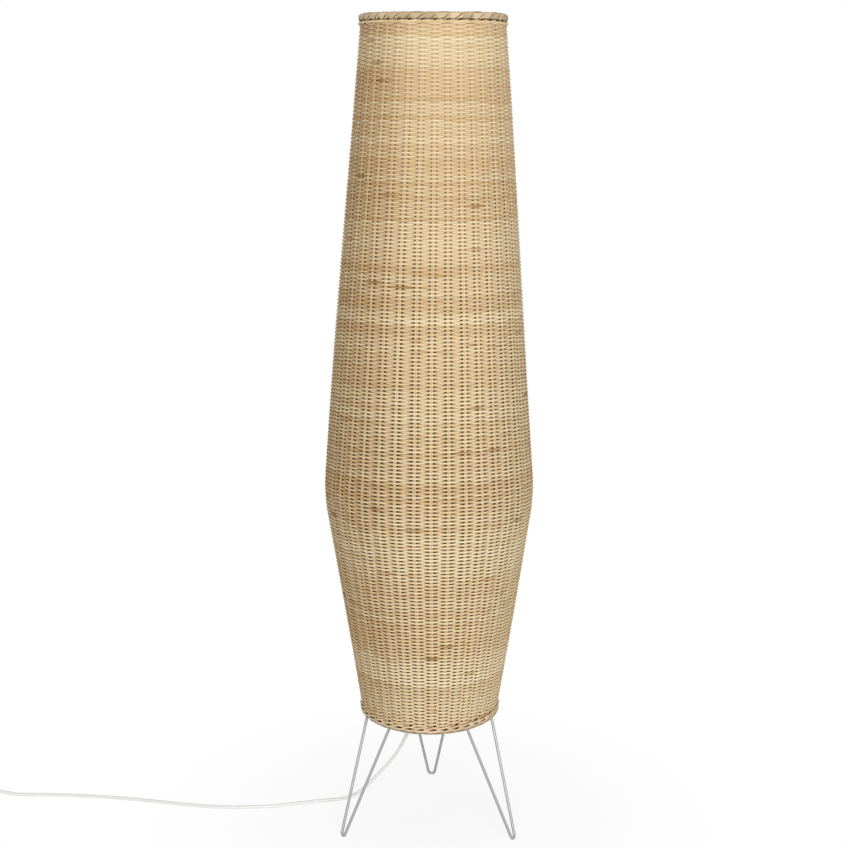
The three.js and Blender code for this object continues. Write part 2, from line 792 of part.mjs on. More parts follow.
function lengthOf(stations) {
  return stations.reduce((sum, point, index) => sum + (index ? point.distanceTo(stations[index - 1]) : 0), 0);
}

// The least distance between the surfaces of two stretches of one cord that aren't neighbours
function leastGap(stations, diameter) {
  const fine = new THREE.CatmullRomCurve3(stations).getSpacedPoints(6 * stations.length);
  const step = lengthOf(fine) / (fine.length - 1);
  const apart = Math.ceil((3 * diameter) / step);
  let least = Infinity;
  for (let first = 0; first < fine.length; first += 1) {
    for (let second = first + apart; second < fine.length; second += 1) {
      least = Math.min(least, fine[first].distanceTo(fine[second]));
    }
  }
  return least - diameter;
}

// A strap round the coil's turns, on the side of the switch
function coilTie() {
  const inward = coilReverseTurn - 1;
  const outerTurn = coilOuterRadius - coilPitch * inward;
  const innerTurn = coilOuterRadius - coilPitch * coilReverseTurn;
  const room = cordDiameter / 2 + tieClearance;
  const [near, far] = [innerTurn - room, outerTurn + room];
  const low = tieThickness;
  const high = coilLowHeight + coilLayerRise + room;
  const corner = tieThickness;
  const middle = [(near + far) / 2, (low + high) / 2];
  const outline = roundedRectangle(far - near + 2 * tieThickness, high - low + 2 * tieThickness, 2 * corner);
  outline.holes.push(roundedRectangle(far - near, high - low, corner));
  return new THREE.ExtrudeGeometry(outline, { depth: tieWidth, bevelEnabled: false, curveSegments: 3 })
    .translate(middle[0], middle[1], -tieWidth / 2)
    .rotateX(Math.PI / 2)
    .translate(coilCentreX, coilCentreY, 0);
}

// A tapered boot along +X from its thick end at x = 0
function strainRelief(length, startRadius, endRadius) {
  const outline = [[0, 0], [startRadius, 0]];
  const rings = 4;
  for (let ring = 1; ring <= rings; ring += 1) {
    const radiusAt = (share) => startRadius + (endRadius - startRadius) * share;
    outline.push([radiusAt((ring - 0.6) / rings), (length * (ring - 0.6)) / rings]);
    outline.push([radiusAt((ring - 0.4) / rings) - gripRidgeDepth, (length * (ring - 0.4)) / rings]);
  }
  outline.push([endRadius, length], [0, length]);
  return turned(outline, turnedSteps / 2).rotateY(Math.PI / 2);
}

const sides = [-1, 1];

function closingScrewX(side) {
  return (side * closingScrewSpread) / 2;
}

function rockerWell() {
  const well = new THREE.CylinderGeometry(rockerRadius + rockerClearance, rockerRadius + rockerClearance,
    rockerWidth + 2 * rockerClearance, turnedSteps);
  const bearing = new THREE.CylinderGeometry(pivotPinRadius + seatGap, pivotPinRadius + seatGap,
    rockerWidth + 2 * (pivotPinReach + rockerClearance), turnedSteps / 2);
  const both = joined(well, bearing);
  return both.translate(0, 0, rockerPivotHeight);
}

function switchBase() {
  const height = switchSplitHeight - seatGap / 2;
  const body = new THREE.ExtrudeGeometry(roundedRectangle(switchLength, switchWidth, switchCornerRadius),
    { depth: height, bevelEnabled: false, curveSegments: 6 });
  const holes = sides.flatMap((side) => [
    post(closingScrewRadius + seatGap, height + 2 * overrun, -overrun, turnedSteps / 2),
    post(closingScrewHeadRadius + seatGap, closingScrewHeadHeight + 2 * seatGap + overrun, -overrun,
      turnedSteps / 2),
  ].map((hole) => hole.translate(closingScrewX(side), 0, 0)));
  return cut(body, rockerWell(), ...holes);
}

function switchCover() {
  const low = switchSplitHeight + seatGap / 2;
  const inner = roundedRectangle(switchLength - 2 * switchEdge, switchWidth - 2 * switchEdge,
    switchCornerRadius - switchEdge);
  const body = new THREE.ExtrudeGeometry(inner, {
    depth: switchHeight - low - switchEdge + overrun,
    bevelThickness: switchEdge,
    bevelSize: switchEdge,
    bevelSegments: 2,
    curveSegments: 6,
  }).translate(0, 0, low - overrun);
  const below = new THREE.BoxGeometry(2 * switchLength, 2 * switchWidth, 2 * overrun)
    .translate(0, 0, low - overrun);
  const window = new THREE.BoxGeometry(2 * (rockerRadius + rockerClearance) * Math.cos(rockerTilt),
    rockerWidth + 2 * rockerClearance, switchHeight).translate(0, 0, rockerPivotHeight + switchHeight / 2);
  const threads = sides.map((side) => post(closingScrewRadius + seatGap, overrun, low - overrun / 2,
    turnedSteps / 2).translate(closingScrewX(side), 0, 0));
  return cut(body, below, rockerWell(), window, ...threads);
}

// A screw from beneath, with its head sunk in the base
function switchScrew(side) {
  const head = closingScrewHeadHeight;
  const end = switchSplitHeight + overrun / 2 - seatGap;
  return turned([
    [0, seatGap],
    [closingScrewHeadRadius, seatGap],
    [closingScrewHeadRadius, head],
    [closingScrewRadius, head],
    [closingScrewRadius, end],
    [0, end],
  ], turnedSteps / 2).translate(closingScrewX(side), 0, 0);
}

// A drum whose dished top tips one way or the other, on two stub pins
function switchRocker() {
  const edge = Math.sqrt(rockerRadius ** 2 - rockerEdgeRise ** 2);
  const edgeAngle = Math.atan2(rockerEdgeRise, edge);
  const outline = new THREE.Shape();
  outline.moveTo(0, rockerDip);
  outline.lineTo(-edge, rockerEdgeRise);
  outline.absarc(0, 0, rockerRadius, Math.PI - edgeAngle, Math.PI + edgeAngle);
  outline.lineTo(edge, -rockerEdgeRise);
  outline.absarc(0, 0, rockerRadius, -edgeAngle, edgeAngle);
  const drum = new THREE.ExtrudeGeometry(outline, { depth: rockerWidth, bevelEnabled: false, curveSegments: 5 })
    .translate(0, 0, -rockerWidth / 2)
    .rotateX(Math.PI / 2);
  const pins = new THREE.CylinderGeometry(pivotPinRadius, pivotPinRadius, rockerWidth + 2 * pivotPinReach,
    turnedSteps / 2);
  return joined(drum, pins);
}

// The plug's flat body, wide at the pins and drawn in to the cord; it points along -X from its wide face
function plugBody() {
  const [half, neck] = [plugWidth / 2 - plugEdge, plugNeckWidth / 2 - plugEdge];
  const outline = new THREE.Shape();
  outline.moveTo(-plugEdge, -half);
  outline.lineTo(-plugEdge, half);
  outline.lineTo(-plugShoulder, half);
  outline.quadraticCurveTo(-plugLength + plugShoulder, neck, -plugLength + plugEdge, neck);
  outline.lineTo(-plugLength + plugEdge, -neck);
  outline.quadraticCurveTo(-plugLength + plugShoulder, -neck, -plugShoulder, -half);
  return new THREE.ExtrudeGeometry(outline, {
    depth: plugThickness - 2 * plugEdge,
    bevelThickness: plugEdge,
    bevelSize: plugEdge,
    bevelSegments: 2,
    curveSegments: 4,
  }).translate(0, 0, plugEdge);
}

function plugPin(side) {
  return turned([
    [0, 0],
    [pinDiameter / 2, 0],
    [pinDiameter / 2, pinLength - pinDiameter / 3],
    [pinDiameter / 4, pinLength],
    [0, pinLength],
  ], turnedSteps / 2).rotateY(Math.PI / 2).translate(seatGap, (side * pinSpacing) / 2, plugAxis);
}

function group(pieces, position = [0, 0, 0]) {
  const made = new THREE.Group();
  for (const [name, geometry, material] of pieces) {
    const mesh = new THREE.Mesh(geometry, material);
    mesh.name = name;
    made.add(mesh);
  }
  made.position.set(...position);
  return made;
}

function standGroup() {
  const base = group([
    ['base_ring', new THREE.TorusGeometry(ringRadius, wireDiameter / 2, cordSides, ringSteps)
      .translate(0, 0, ringHeight), satinWire],
    ['cross_bar', crossBar(), satinWire],
    ['threaded_nipple', nipple(), zincSteel],
    ['nut_below_bar', hexNut(bridgeTop - barThickness - nutThickness - seatGap), zincSteel],
    ['nut_above_bar', hexNut(bridgeTop + seatGap), zincSteel],
    ['cord_grip', cordGrip(), whitePlastic],
  ]);
  for (const [name, angle] of Object.entries(legAngles)) {
    const leg = group([[name, hairpinLeg(), satinWire]]);
    leg.rotation.z = angle;
    base.add(leg);
  }
  return base;
}

function holderGroup() {
  return group([
    ['holder_cap', holderCap(), whitePlastic],
    ['holder_shell', holderShell(), whitePlastic],
    ['contact_block', contactBlock(), ceramic],
    ['centre_contact', centreContact(), brass],
    ['side_contact', sideContact(), brass],
    ...sides.map((side, index) => [`terminal_screw_${index + 1}`, terminalScrew(side), brass]),
    ['inner_lead', innerLead(), whiteCord],
  ]);
}

function bulbGroup() {
  return group([
    ['bulb_glass', bulbGlass(), opalGlass],
    ['bulb_screw_cap', screwCap(), zincSteel],
    ['bulb_insulator', bulbInsulator(), blackGlass],
    ['bulb_tip_contact', tipContact(), brass],
  ]);
}

function cordGroup() {
  const run = cordRunStations();
  const coil = coilStations();
  const onCord = lengthOf(run) + lengthOf(coil) + switchLength + 2 * reliefLength + 4 * seatGap;
  console.log(`cord length in all: ${onCord.toFixed(0)} mm, coil with leads: ${lengthOf(coil).toFixed(0)} mm`);
  console.log(`least gap of the coil to itself: ${leastGap(coil, cordDiameter).toFixed(2)} mm`);
  const cord = group([
    ['cord_run', tube(run, cordDiameter, cordSides), whiteCord],
    ['cord_coil', tube(coil, cordDiameter, coilSides), whiteCord],
    ['coil_tie', coilTie(), whitePlastic],
  ]);
  const onLine = group([
    ['switch_base', switchBase(), whitePlastic],
    ['switch_cover', switchCover(), whitePlastic],
    ...sides.map((side, index) => [`switch_screw_${index + 1}`, switchScrew(side), zincSteel]),
    ['switch_relief_lamp_side', strainRelief(reliefLength, reliefStartRadius, reliefEndRadius)
      .translate(switchLength / 2 + seatGap, 0, switchAxis), whitePlastic],
    ['switch_relief_plug_side', strainRelief(reliefLength, reliefStartRadius, reliefEndRadius)
      .rotateZ(Math.PI).translate(-switchLength / 2 - seatGap, 0, switchAxis), whitePlastic],
  ], [switchCentreX, cordLine, 0]);
  const rocker = group([['switch_rocker', switchRocker(), whitePlastic]], [0, 0, rockerPivotHeight]);
  rocker.rotation.y = -rockerTilt;
  onLine.add(rocker);
  const plugFace = plugReliefStart + plugReliefLength + seatGap + plugLength;
  const plug = group([
    ['plug_body', plugBody(), whitePlastic],
    ...sides.map((side, index) => [`plug_pin_${index + 1}`, plugPin(side), zincSteel]),
    ['plug_relief', strainRelief(plugReliefLength, reliefStartRadius, reliefEndRadius)
      .rotateZ(Math.PI).translate(-plugLength - seatGap, 0, plugAxis), whitePlastic],
  ], [plugFace, coilCentreY + coilOuterRadius, 0]);
  cord.add(onLine, plug);
  return cord;
}

const lamp = new THREE.Group();
lamp.add(standGroup(), holderGroup(), bulbGroup(), group(shadePieces()), cordGroup());

export default lamp;
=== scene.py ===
# Rattan floor lamp: a tall shade woven from round reed over a wire base with hairpin legs.
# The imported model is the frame. Lengths are metres, +Z is up and the floor is z = 0.
# The lamp's axis is x = y = 0.

import json
import math

import bmesh
import bpy
import numpy as np
from bpy.props import FloatProperty, FloatVectorProperty, IntProperty, PointerProperty
from mathutils import Matrix, Vector


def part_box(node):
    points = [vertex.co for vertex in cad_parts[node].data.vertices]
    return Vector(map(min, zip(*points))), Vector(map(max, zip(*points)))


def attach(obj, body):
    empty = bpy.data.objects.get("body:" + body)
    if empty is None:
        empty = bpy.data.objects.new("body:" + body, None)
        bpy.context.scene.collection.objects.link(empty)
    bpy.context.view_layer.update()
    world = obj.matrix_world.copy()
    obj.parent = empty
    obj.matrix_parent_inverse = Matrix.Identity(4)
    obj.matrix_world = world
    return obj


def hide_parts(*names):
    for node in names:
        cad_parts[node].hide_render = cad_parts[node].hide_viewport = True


bl_info = {
    "name": "Rattan floor lamp",
    "version": (1, 0, 0),
    "blender": (4, 5, 0),
    "location": "3D View > Sidebar > Rattan lamp",
    "description": "Builds a woven rattan floor lamp on a wire base round its packed frame",
    "category": "Add Mesh",
}

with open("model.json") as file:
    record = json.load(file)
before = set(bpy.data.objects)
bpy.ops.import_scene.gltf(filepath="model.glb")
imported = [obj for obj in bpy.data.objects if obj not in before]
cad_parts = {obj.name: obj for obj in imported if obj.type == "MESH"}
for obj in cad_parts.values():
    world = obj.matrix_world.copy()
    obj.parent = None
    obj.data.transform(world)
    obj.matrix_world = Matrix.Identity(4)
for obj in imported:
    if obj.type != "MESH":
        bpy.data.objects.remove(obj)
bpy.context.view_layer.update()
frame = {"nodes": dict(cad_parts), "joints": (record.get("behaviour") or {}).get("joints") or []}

MM = 0.001
FULL_TURN = 2 * math.pi
ALONG_X = np.array([1.0, 0.0, 0.0])
ALONG_Y = np.array([0.0, 1.0, 0.0])
UP = np.array([0.0, 0.0, 1.0])

# How finely round things are divided
REED_SIDES = 6
STAKE_SIDES = 8
WIRE_SIDES = 18
TURNED_STEPS = 64
SAMPLES_PER_PAIR = 6
BAND_SAMPLES_PER_PAIR = 12

# A mesh of the weave ends with the reed that takes it past this many faces
MOST_FACES = 95000

# Half the width over which the painted shade on a rod's hidden side fades in, as a share of the rod's half
# width
PAINTED_SHADE_FADE_SHARE = 0.5

# Radius of every hole that the threaded nipple passes through
NIPPLE_HOLE = 5.15 * MM

# Pitch of the lamp holder's and the bulb's round thread
LAMP_THREAD_PITCH = 3.6 * MM


def linear(text):
    """An sRGB hex colour as linear red, green, blue and alpha."""
    made = []
    for start in (0, 2, 4):
        value = int(text[start:start + 2], 16) / 255
        made.append(value / 12.92 if value <= 0.04045 else ((value + 0.055) / 1.055) ** 2.4)
    return (*made, 1.0)


def length_of(name, description, default):
    """A length that a user can set, in metres."""
    return FloatProperty(
        name=name, description=description, default=default, min=0, unit="LENGTH", precision=4)


def angle_of(name, description, degrees, least=-math.pi):
    """An angle that a user can set, from its degrees."""
    return FloatProperty(
        name=name, description=description, default=math.radians(degrees), min=least, subtype="ANGLE")


def share_of(name, description, default, least=0):
    """A share of a whole that a user can set."""
    return FloatProperty(name=name, description=description, default=default, min=least, max=1)


def power_of(name, description, default):
    """A lamp's power that a user can set, in watts."""
    return FloatProperty(name=name, description=description, default=default, min=0, unit="POWER")


def colour_of(name, description, text):
    """A colour that a user can set, from its sRGB hex value."""
    return FloatVectorProperty(
        name=name, description=description, default=linear(text), size=4, subtype="COLOR", min=0, max=1)


# Settings

class ShadeSettings(bpy.types.PropertyGroup):
    """Sizes and colours of the woven shade."""

    top_height: length_of("Top", "Height of the top border's upper edge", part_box("top_border")[1].z)
    bottom_height: length_of(
        "Bottom", "Height of the bottom border's lower edge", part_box("bottom_border")[0].z)
    wall_low: length_of("Wall low", "Where the woven wall begins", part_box("shade_wall")[0].z)
    wall_high: length_of("Wall high", "Where the woven wall ends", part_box("shade_wall")[1].z)
    top_radius: length_of("Top radius", "Outside radius of the weave at the top", 115.6 * MM)
    bottom_radius: length_of("Bottom radius", "Outside radius of the weave at the bottom", 116.7 * MM)
    belly_height: length_of("Belly height", "Height at which the two cones meet", 587 * MM)
    belly_radius: length_of("Belly radius", "Radius at which the two cones would meet", 177 * MM)
    belly_blend: length_of("Belly blend", "Half the height over which the belly is rounded", 34 * MM)
    upper_bulge: length_of("Upper bulge", "How far the upper cone bulges at its middle", 1.4 * MM)
    sway: length_of("Sway", "How far the woven wall strays sideways from a straight axis", 2.4 * MM)
    rim_dip: length_of(
        "Rim dip", "How much lower the top edge lies in front and behind than at the sides", 3.4 * MM)
    foot_dip: length_of(
        "Foot dip", "How much lower the bottom edge lies there than at the sides", 1.8 * MM)
    pair_count: IntProperty(
        name="Pairs of stakes", description="Number of pairs, odd, so that one reed can go over and under",
        default=37, min=5)
    stake_diameter: length_of("Stake width", "Width of the upright stakes round the shade", 2.8 * MM)
    stake_depth: length_of("Stake depth", "Thickness of the stakes where the reed presses them", 1.8 * MM)
    row_height: length_of("Row height", "Height of one row of reed, as near as whole rows allow", 3 * MM)
    reed_diameter: length_of("Reed diameter", "Thickness of the reed in the wall", 3.2 * MM)
    top_band_width: length_of("Top band", "How thick the top's twisted band is", 11.2 * MM)
    top_border_width: length_of("Top border", "How thick the top's rolled border is", 9 * MM)
    bottom_band_width: length_of("Bottom band", "How thick the bottom's twisted band is", 12.4 * MM)
    bottom_border_width: length_of("Bottom border", "How thick the bottom's rolled border is", 13.6 * MM)
    band_proud: length_of("Band proud", "How far the bands stand out from the weave", 1.6 * MM)
    reed_spread: share_of(
        "Reed spread", "How much taller a reed is pressed where it bends round a pair at the belly", 0.18)
    spread_growth: FloatProperty(
        name="Spread growth", description="Power by which that grows where the shade is narrower",
        default=2.2, min=0)
    pair_wander: angle_of(
        "Pair wander", "How far a pair strays from its place round the shade", 0.8, least=0)
    rod_length: length_of("Rod length", "Mean length of one reed before the next takes over", 2.9)
    seed: IntProperty(name="Seed", description="Picks the lengths and tones of the reeds", default=7, min=0)
    pale: colour_of("Pale reed", "The lightest peeled reed", "E2D2B0")
    straw: colour_of("Straw reed", "The usual peeled reed", "D5BE97")
    tan: colour_of("Tan reed", "Reed from nearer the skin", "BE9C6E")
    brown: colour_of("Brown marks", "Marks where a leaf grew or water dried", "906D42")
    # Painted shade: the dark colour that the weave's pockets and the borders' hidden parts are mixed towards
    deep: colour_of(
        "Sheltered reed", "Reed behind others, where water and dust have browned it", "45260B")
    # Painted shade: how far behind the stakes a reed is darkened, at the belly and at the top
    hidden_low: share_of(
        "Browned low", "How far behind the stakes a reed turns brown, at the belly", 0.3, least=-1)
    hidden_high: share_of(
        "Browned high", "The same at the top, where the pairs stand closer together", 0.75, least=-1)
    # Painted shade: how much darker the reed is on the side away from the key light
    browned_side: share_of(
        "Browned side", "How much darker in tone the reed is on the side away from the window", 0.17)
    border_pale: colour_of("Pale stake end", "The lightest of the stakes bent into the borders", "E2CBA8")
    border_tan: colour_of("Tan stake end", "The darkest of the stakes bent into the borders", "9E8B6F")


class BaseSettings(bpy.types.PropertyGroup):
    """Sizes and colours of the wire base, the lamp holder and the bulb."""

    wire_diameter: length_of("Wire", "Thickness of the wire in the legs and the ring", 5 * MM)
    foot_circle: length_of("Foot circle", "Radius on which the feet stand", 168 * MM)
    foot_bend: length_of("Foot bend", "Radius of a leg's hairpin bend", 6 * MM)
    foot_flat: length_of("Foot flat", "How much of the wire is worn flat under a foot", 0.5 * MM)
    ring_height: length_of("Ring height", "Height of the ring's middle", 212 * MM)
    splay: angle_of("Splay", "Angle between a leg's middle and each wire's top, round the lamp's axis", 24.5)
    wire_top: length_of("Wire top", "Distance of each wire's top from the lamp's axis", 103.2 * MM)
    wire_rise: length_of("Wire rise", "How far the wire's end stands over the ring's middle", 3 * MM)
    coating: colour_of("Coating", "Grey powder coat on the wire", "A5A6A8")
    zinc: colour_of("Zinc", "Zinc plate on nuts, nipple, screws and pins", "C9CBCE")
    brass: colour_of("Brass", "Contacts and terminal screws", "D6B56A")
    steatite: colour_of("Steatite", "The ceramic that carries the contacts", "E8E1D2")
    opal: colour_of("Opal glass", "The bulb", "F4F2EC")
    vitrite: colour_of("Vitrite", "The black glass at the bulb's foot", "17171A")


class CordSettings(bpy.types.PropertyGroup):
    """Sizes and colours of the cord and what is on it."""

    diameter: length_of("Cord diameter", "Thickness of the sheath", 6 * MM)
    length: length_of("Cord length", "Real length from the grip to the plug", 1.8)
    coil_turns: FloatProperty(name="Turns", description="Turns of the put-away coil", default=3.5, min=1)
    coil_reverse: FloatProperty(
        name="Reverse", description="Turn at which the coil spirals out again", default=1.75)
    coil_radius: length_of("Coil radius", "Middle of the coil's outer turn", 37.3 * MM)
    coil_pitch: length_of("Coil pitch", "Distance between turns that lie side by side", 6.6 * MM)
    coil_rise: length_of("Coil rise", "Distance between the coil's two layers", 6.5 * MM)
    coil_low: length_of("Coil height", "Height of the lower layer's middle", 4.5 * MM)
    coil_centre: FloatProperty(
        name="Coil place", description="Where the coil's middle lies along X", default=-925 * MM,
        unit="LENGTH")
    lead_in: length_of("Lead in", "Straight cord from the switch to the coil", 36 * MM)
    lead_out: length_of("Lead out", "Straight cord from the coil to the plug", 32 * MM)
    sheath: colour_of("Sheath", "White PVC of the cord", "E4E4E2")
    plastic: colour_of("White plastic", "Moulded ABS of holder, switch, grip and plug", "E2E2DF")


class StageSettings(bpy.types.PropertyGroup):
    """Light, floor and camera."""

    floor: colour_of("Floor", "Colour of the floor", "FAFAFA")
    sky: share_of("Sky", "Strength of the light from all sides", 0.36)
    key: power_of("Key", "Power of the large front light", 111)
    fill: power_of("Fill", "Power of the large light behind the lamp", 36)
    floor_glow: share_of("Floor glow", "How far the floor by the feet shows as lit white paper", 0.8)
    shadow_reach: length_of(
        "Shadow reach", "Distance from the lamp at which the floor shows no shadow", 0.6)
    focal_pixels: FloatProperty(
        name="Focal length", description="In pixels of the photograph's picture side", default=1461.2)
    pitch: angle_of("Pitch", "How far the camera looks down", 11.374)
    heading: angle_of("Heading", "Camera's turn to the left of +Y", 1.68)
    roll: angle_of("Roll", "Camera's turn about its own axis", 0.13)
    camera_place: FloatVectorProperty(
        name="Camera", description="Where the camera stands", default=(0.0592, -2.3893, 1.1843), size=3,
        subtype="TRANSLATION")


# Shared making of meshes

def smoothed(share):
    """A share from 0 to 1 that starts and ends gently."""
    share = np.clip(share, 0, 1)
    return share * share * (3 - 2 * share)


def circle(radius, sides):
    """A round section: points [side, up], anticlockwise."""
    angle = np.arange(sides) / sides * FULL_TURN
    return np.stack([np.cos(angle), np.sin(angle)], 1) * radius


def rounded_box(width, height, radius, steps=3):
    """A section with rounded corners, anticlockwise."""
    made = []
    for corner, (x, y) in enumerate([(1, 1), (-1, 1), (-1, -1), (1, -1)]):
        for step in range(steps + 1):
            angle = (corner + step / steps) * math.pi / 2
            made.append((x * (width / 2 - radius) + radius * math.cos(angle),
                         y * (height / 2 - radius) + radius * math.sin(angle)))
    return np.array(made)


def curve_through(points, step_count):
    """A smooth line through points, with step_count steps between each two."""
    points = np.asarray(points, float)
    padded = np.vstack([2 * points[0] - points[1], points, 2 * points[-1] - points[-2]])
    made = []
    for index in range(len(points) - 1):
        a, b, c, d = padded[index:index + 4]
        for t in np.arange(step_count) / step_count:
            made.append(0.5 * (2 * b + (c - a) * t + (2 * a - 5 * b + 4 * c - d) * t * t
                               + (3 * b - a - 3 * c + d) * t ** 3))
    made.append(points[-1])
    return np.array(made)


def even_steps(points, step):
    """The same line with points a step apart."""
    along = np.concatenate([[0], np.cumsum(np.linalg.norm(np.diff(points, axis=0), axis=1))])
    count = max(2, round(along[-1] / step))
    at = np.linspace(0, along[-1], count + 1)
    return np.stack([np.interp(at, along, points[:, axis]) for axis in range(3)], 1)


def ring_quads(here, above):
    """Faces between rings of point numbers that run anticlockwise seen from above."""
    return np.stack([here, np.roll(here, -1, 1), np.roll(above, -1, 1), above], -1).reshape(-1, 4)


class Parts:
    """Collects tubes and turned bodies, with what the shader reads on each point, into one mesh."""

    def __init__(self):
        self.points, self.quads, self.caps, self.tone, self.sheltered, self.place = [], [], [], [], [], []
        self.count = 0

    def add(self, points, quads, caps=(), tone=0.5, sheltered=0.0, place=None):
        self.points.append(points)
        self.quads.append(quads + self.count)
        self.caps += [cap + self.count for cap in caps]
        self.tone.append(np.broadcast_to(np.asarray(tone, float), (len(points),)))
        self.sheltered.append(np.broadcast_to(np.asarray(sheltered, float), (len(points),)))
        self.place.append(points if place is None else place)
        self.count += len(points)

    def sweep(self, line, section, up=UP, size=1.0, closed=False, tone=0.5, sheltered=0.0, outer_axis=0,
              along_from=0.0):
        """A section carried along a line. up is the direction of the section's second axis. Only the side
        towards which the outer axis points gets the painted shade. Counts the length from along_from and
        gives its last value."""
        line = np.asarray(line, float)
        if closed:
            tangent = np.roll(line, -1, 0) - np.roll(line, 1, 0)
        else:
            tangent = np.gradient(line, axis=0)
        tangent /= np.linalg.norm(tangent, axis=1)[:, None]
        side = np.cross(tangent, np.broadcast_to(up, line.shape))
        side /= np.linalg.norm(side, axis=1)[:, None]
        upright = np.cross(side, tangent)
        sections = np.broadcast_to(section, (len(line), *np.shape(section)[-2:]))
        sections = sections * np.broadcast_to(size, (len(line),))[:, None, None]
        points = (line[:, None, :] + sections[:, :, :1] * side[:, None, :]
                  + sections[:, :, 1:] * upright[:, None, :])
        rings, sides = points.shape[:2]
        index = np.arange(rings * sides).reshape(rings, sides)
        after = np.roll(index, -1, 0) if closed else index[1:]
        here = index if closed else index[:-1]
        quads = np.stack([here, after, np.roll(after, -1, 1), np.roll(here, -1, 1)], -1).reshape(-1, 4)
        steps = np.linalg.norm(np.diff(line, axis=0), axis=1)
        along = along_from + np.concatenate([[0], np.cumsum(steps)])
        place = np.dstack([np.broadcast_to(along[:, None], (rings, sides)), sections[:, :, 0],
                           sections[:, :, 1]])
        tones = np.broadcast_to(np.asarray(tone, float), (rings,)).repeat(sides)
        outward = sections[:, :, outer_axis] / np.abs(sections[:, :, outer_axis]).max(1)[:, None]
        fade = smoothed((outward + PAINTED_SHADE_FADE_SHARE) / (2 * PAINTED_SHADE_FADE_SHARE))
        # Painted shade: darkens the side that faces out where the rod lies hidden behind others
        hidden = np.broadcast_to(sheltered, (rings,))[:, None] * fade
        caps = () if closed else (index[0], index[-1][::-1])
        self.add(points.reshape(-1, 3), quads, caps, tones, hidden.ravel(), place.reshape(-1, 3))
        return along[-1]

    def turned(self, profile, steps=TURNED_STEPS, ripple=None, close=False, matrix=None):
        """A body turned about Z from [radius, height] points that run up its outside. ripple changes the
        radius by radius, height and angle, and close joins the profile's last point to its first."""
        profile = np.asarray(profile, float)
        angle = np.arange(steps) / steps * FULL_TURN
        radius = np.broadcast_to(profile[:, :1], (len(profile), steps)).copy()
        height = np.broadcast_to(profile[:, 1:], (len(profile), steps))
        if ripple:
            radius += ripple(radius, height, angle[None, :])
        points = np.dstack([radius * np.cos(angle), radius * np.sin(angle), height]).reshape(-1, 3)
        if matrix is not None:
            points = points @ np.array(matrix)[:3, :3].T + np.array(matrix)[:3, 3]
        index = np.arange(len(points)).reshape(len(profile), steps)
        here, above = (index, np.roll(index, -1, 0)) if close else (index[:-1], index[1:])
        self.add(points, ring_quads(here, above))

    def mesh(self, name, crease=None):
        """All that was added as one mesh. With a crease, points that lie on each other are joined, and edges
        are sharp where faces meet at more than so many degrees."""
        points = np.vstack(self.points).astype(np.float32)
        quads = np.vstack(self.quads)
        loops = np.concatenate([quads.ravel(), *self.caps]).astype(np.int32)
        sizes = np.concatenate([np.full(len(quads), 4), [len(cap) for cap in self.caps]]).astype(np.int64)
        starts = np.concatenate([[0], np.cumsum(sizes)[:-1]]).astype(np.int32)
        made = bpy.data.meshes.new(name)
        made.vertices.add(len(points))
        made.vertices.foreach_set("co", points.ravel())
        made.loops.add(len(loops))
        made.loops.foreach_set("vertex_index", loops)
        made.polygons.add(len(starts))
        made.polygons.foreach_set("loop_start", starts)
        made.update(calc_edges=True)
        for attribute, values in (("tone", self.tone), ("sheltered", self.sheltered)):
            made.attributes.new(attribute, "FLOAT", "POINT").data.foreach_set(
                "value", np.concatenate(values).astype(np.float32))
        made.attributes.new("reed_place", "FLOAT_VECTOR", "POINT").data.foreach_set(
            "vector", np.vstack(self.place).astype(np.float32).ravel())
        if crease is not None:
            merge_poles(made)
        made.polygons.foreach_set("use_smooth", np.ones(len(made.polygons), bool))
        if crease is not None:
            made.set_sharp_from_angle(angle=math.radians(crease))
        made.update()
        return made


def merge_poles(mesh):
    """Joins points that lie on each other, such as a turned body's ends on its axis."""
    touching, no_length = 1e-7, 1e-8
    work = bmesh.new()
    work.from_mesh(mesh)
    bmesh.ops.remove_doubles(work, verts=work.verts, dist=touching)
    bmesh.ops.dissolve_degenerate(work, edges=work.edges, dist=no_length)
    work.to_mesh(mesh)
    work.free()


def swept_mesh(name, line, section, up=UP, closed=False, crease=None):
    """A swept body alone in a mesh."""
    parts = Parts()
    parts.sweep(line, section, up, closed=closed)
    return parts.mesh(name, crease)


def turned_mesh(name, profile, crease, **form):
    """A turned body alone in a mesh."""
    parts = Parts()
    parts.turned(profile, **form)
    return parts.mesh(name, crease)


def placed(mesh, maker, body, slot, *nodes):
    """A piece of the lamp from a mesh: it wears the material that maker makes, rides on its body and stands
    for CAD nodes."""
    piece = bpy.data.objects.new(mesh.name, mesh)
    bpy.context.scene.collection.objects.link(piece)
    piece.data.materials.append(made_once(maker))
    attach(piece, body)
    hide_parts(*nodes)
    return piece


def dress(maker, slot, *nodes):
    """Gives CAD nodes that keep their own shape the material that maker makes."""
    for name in nodes:
        node = frame["nodes"][name]
        node.data.materials.clear()
        node.data.materials.append(made_once(maker))


# Shared making of materials

# A Mix node's colour inputs and its colour output, by number, because its sockets share their names
MIX_A, MIX_B, MIX_COLOUR = 6, 7, 2


def made_once(maker):
    """The material that a function makes and that has the function's name, made once for all its pieces."""
    return bpy.data.materials.get(maker.__name__) or maker(bpy.context.scene)


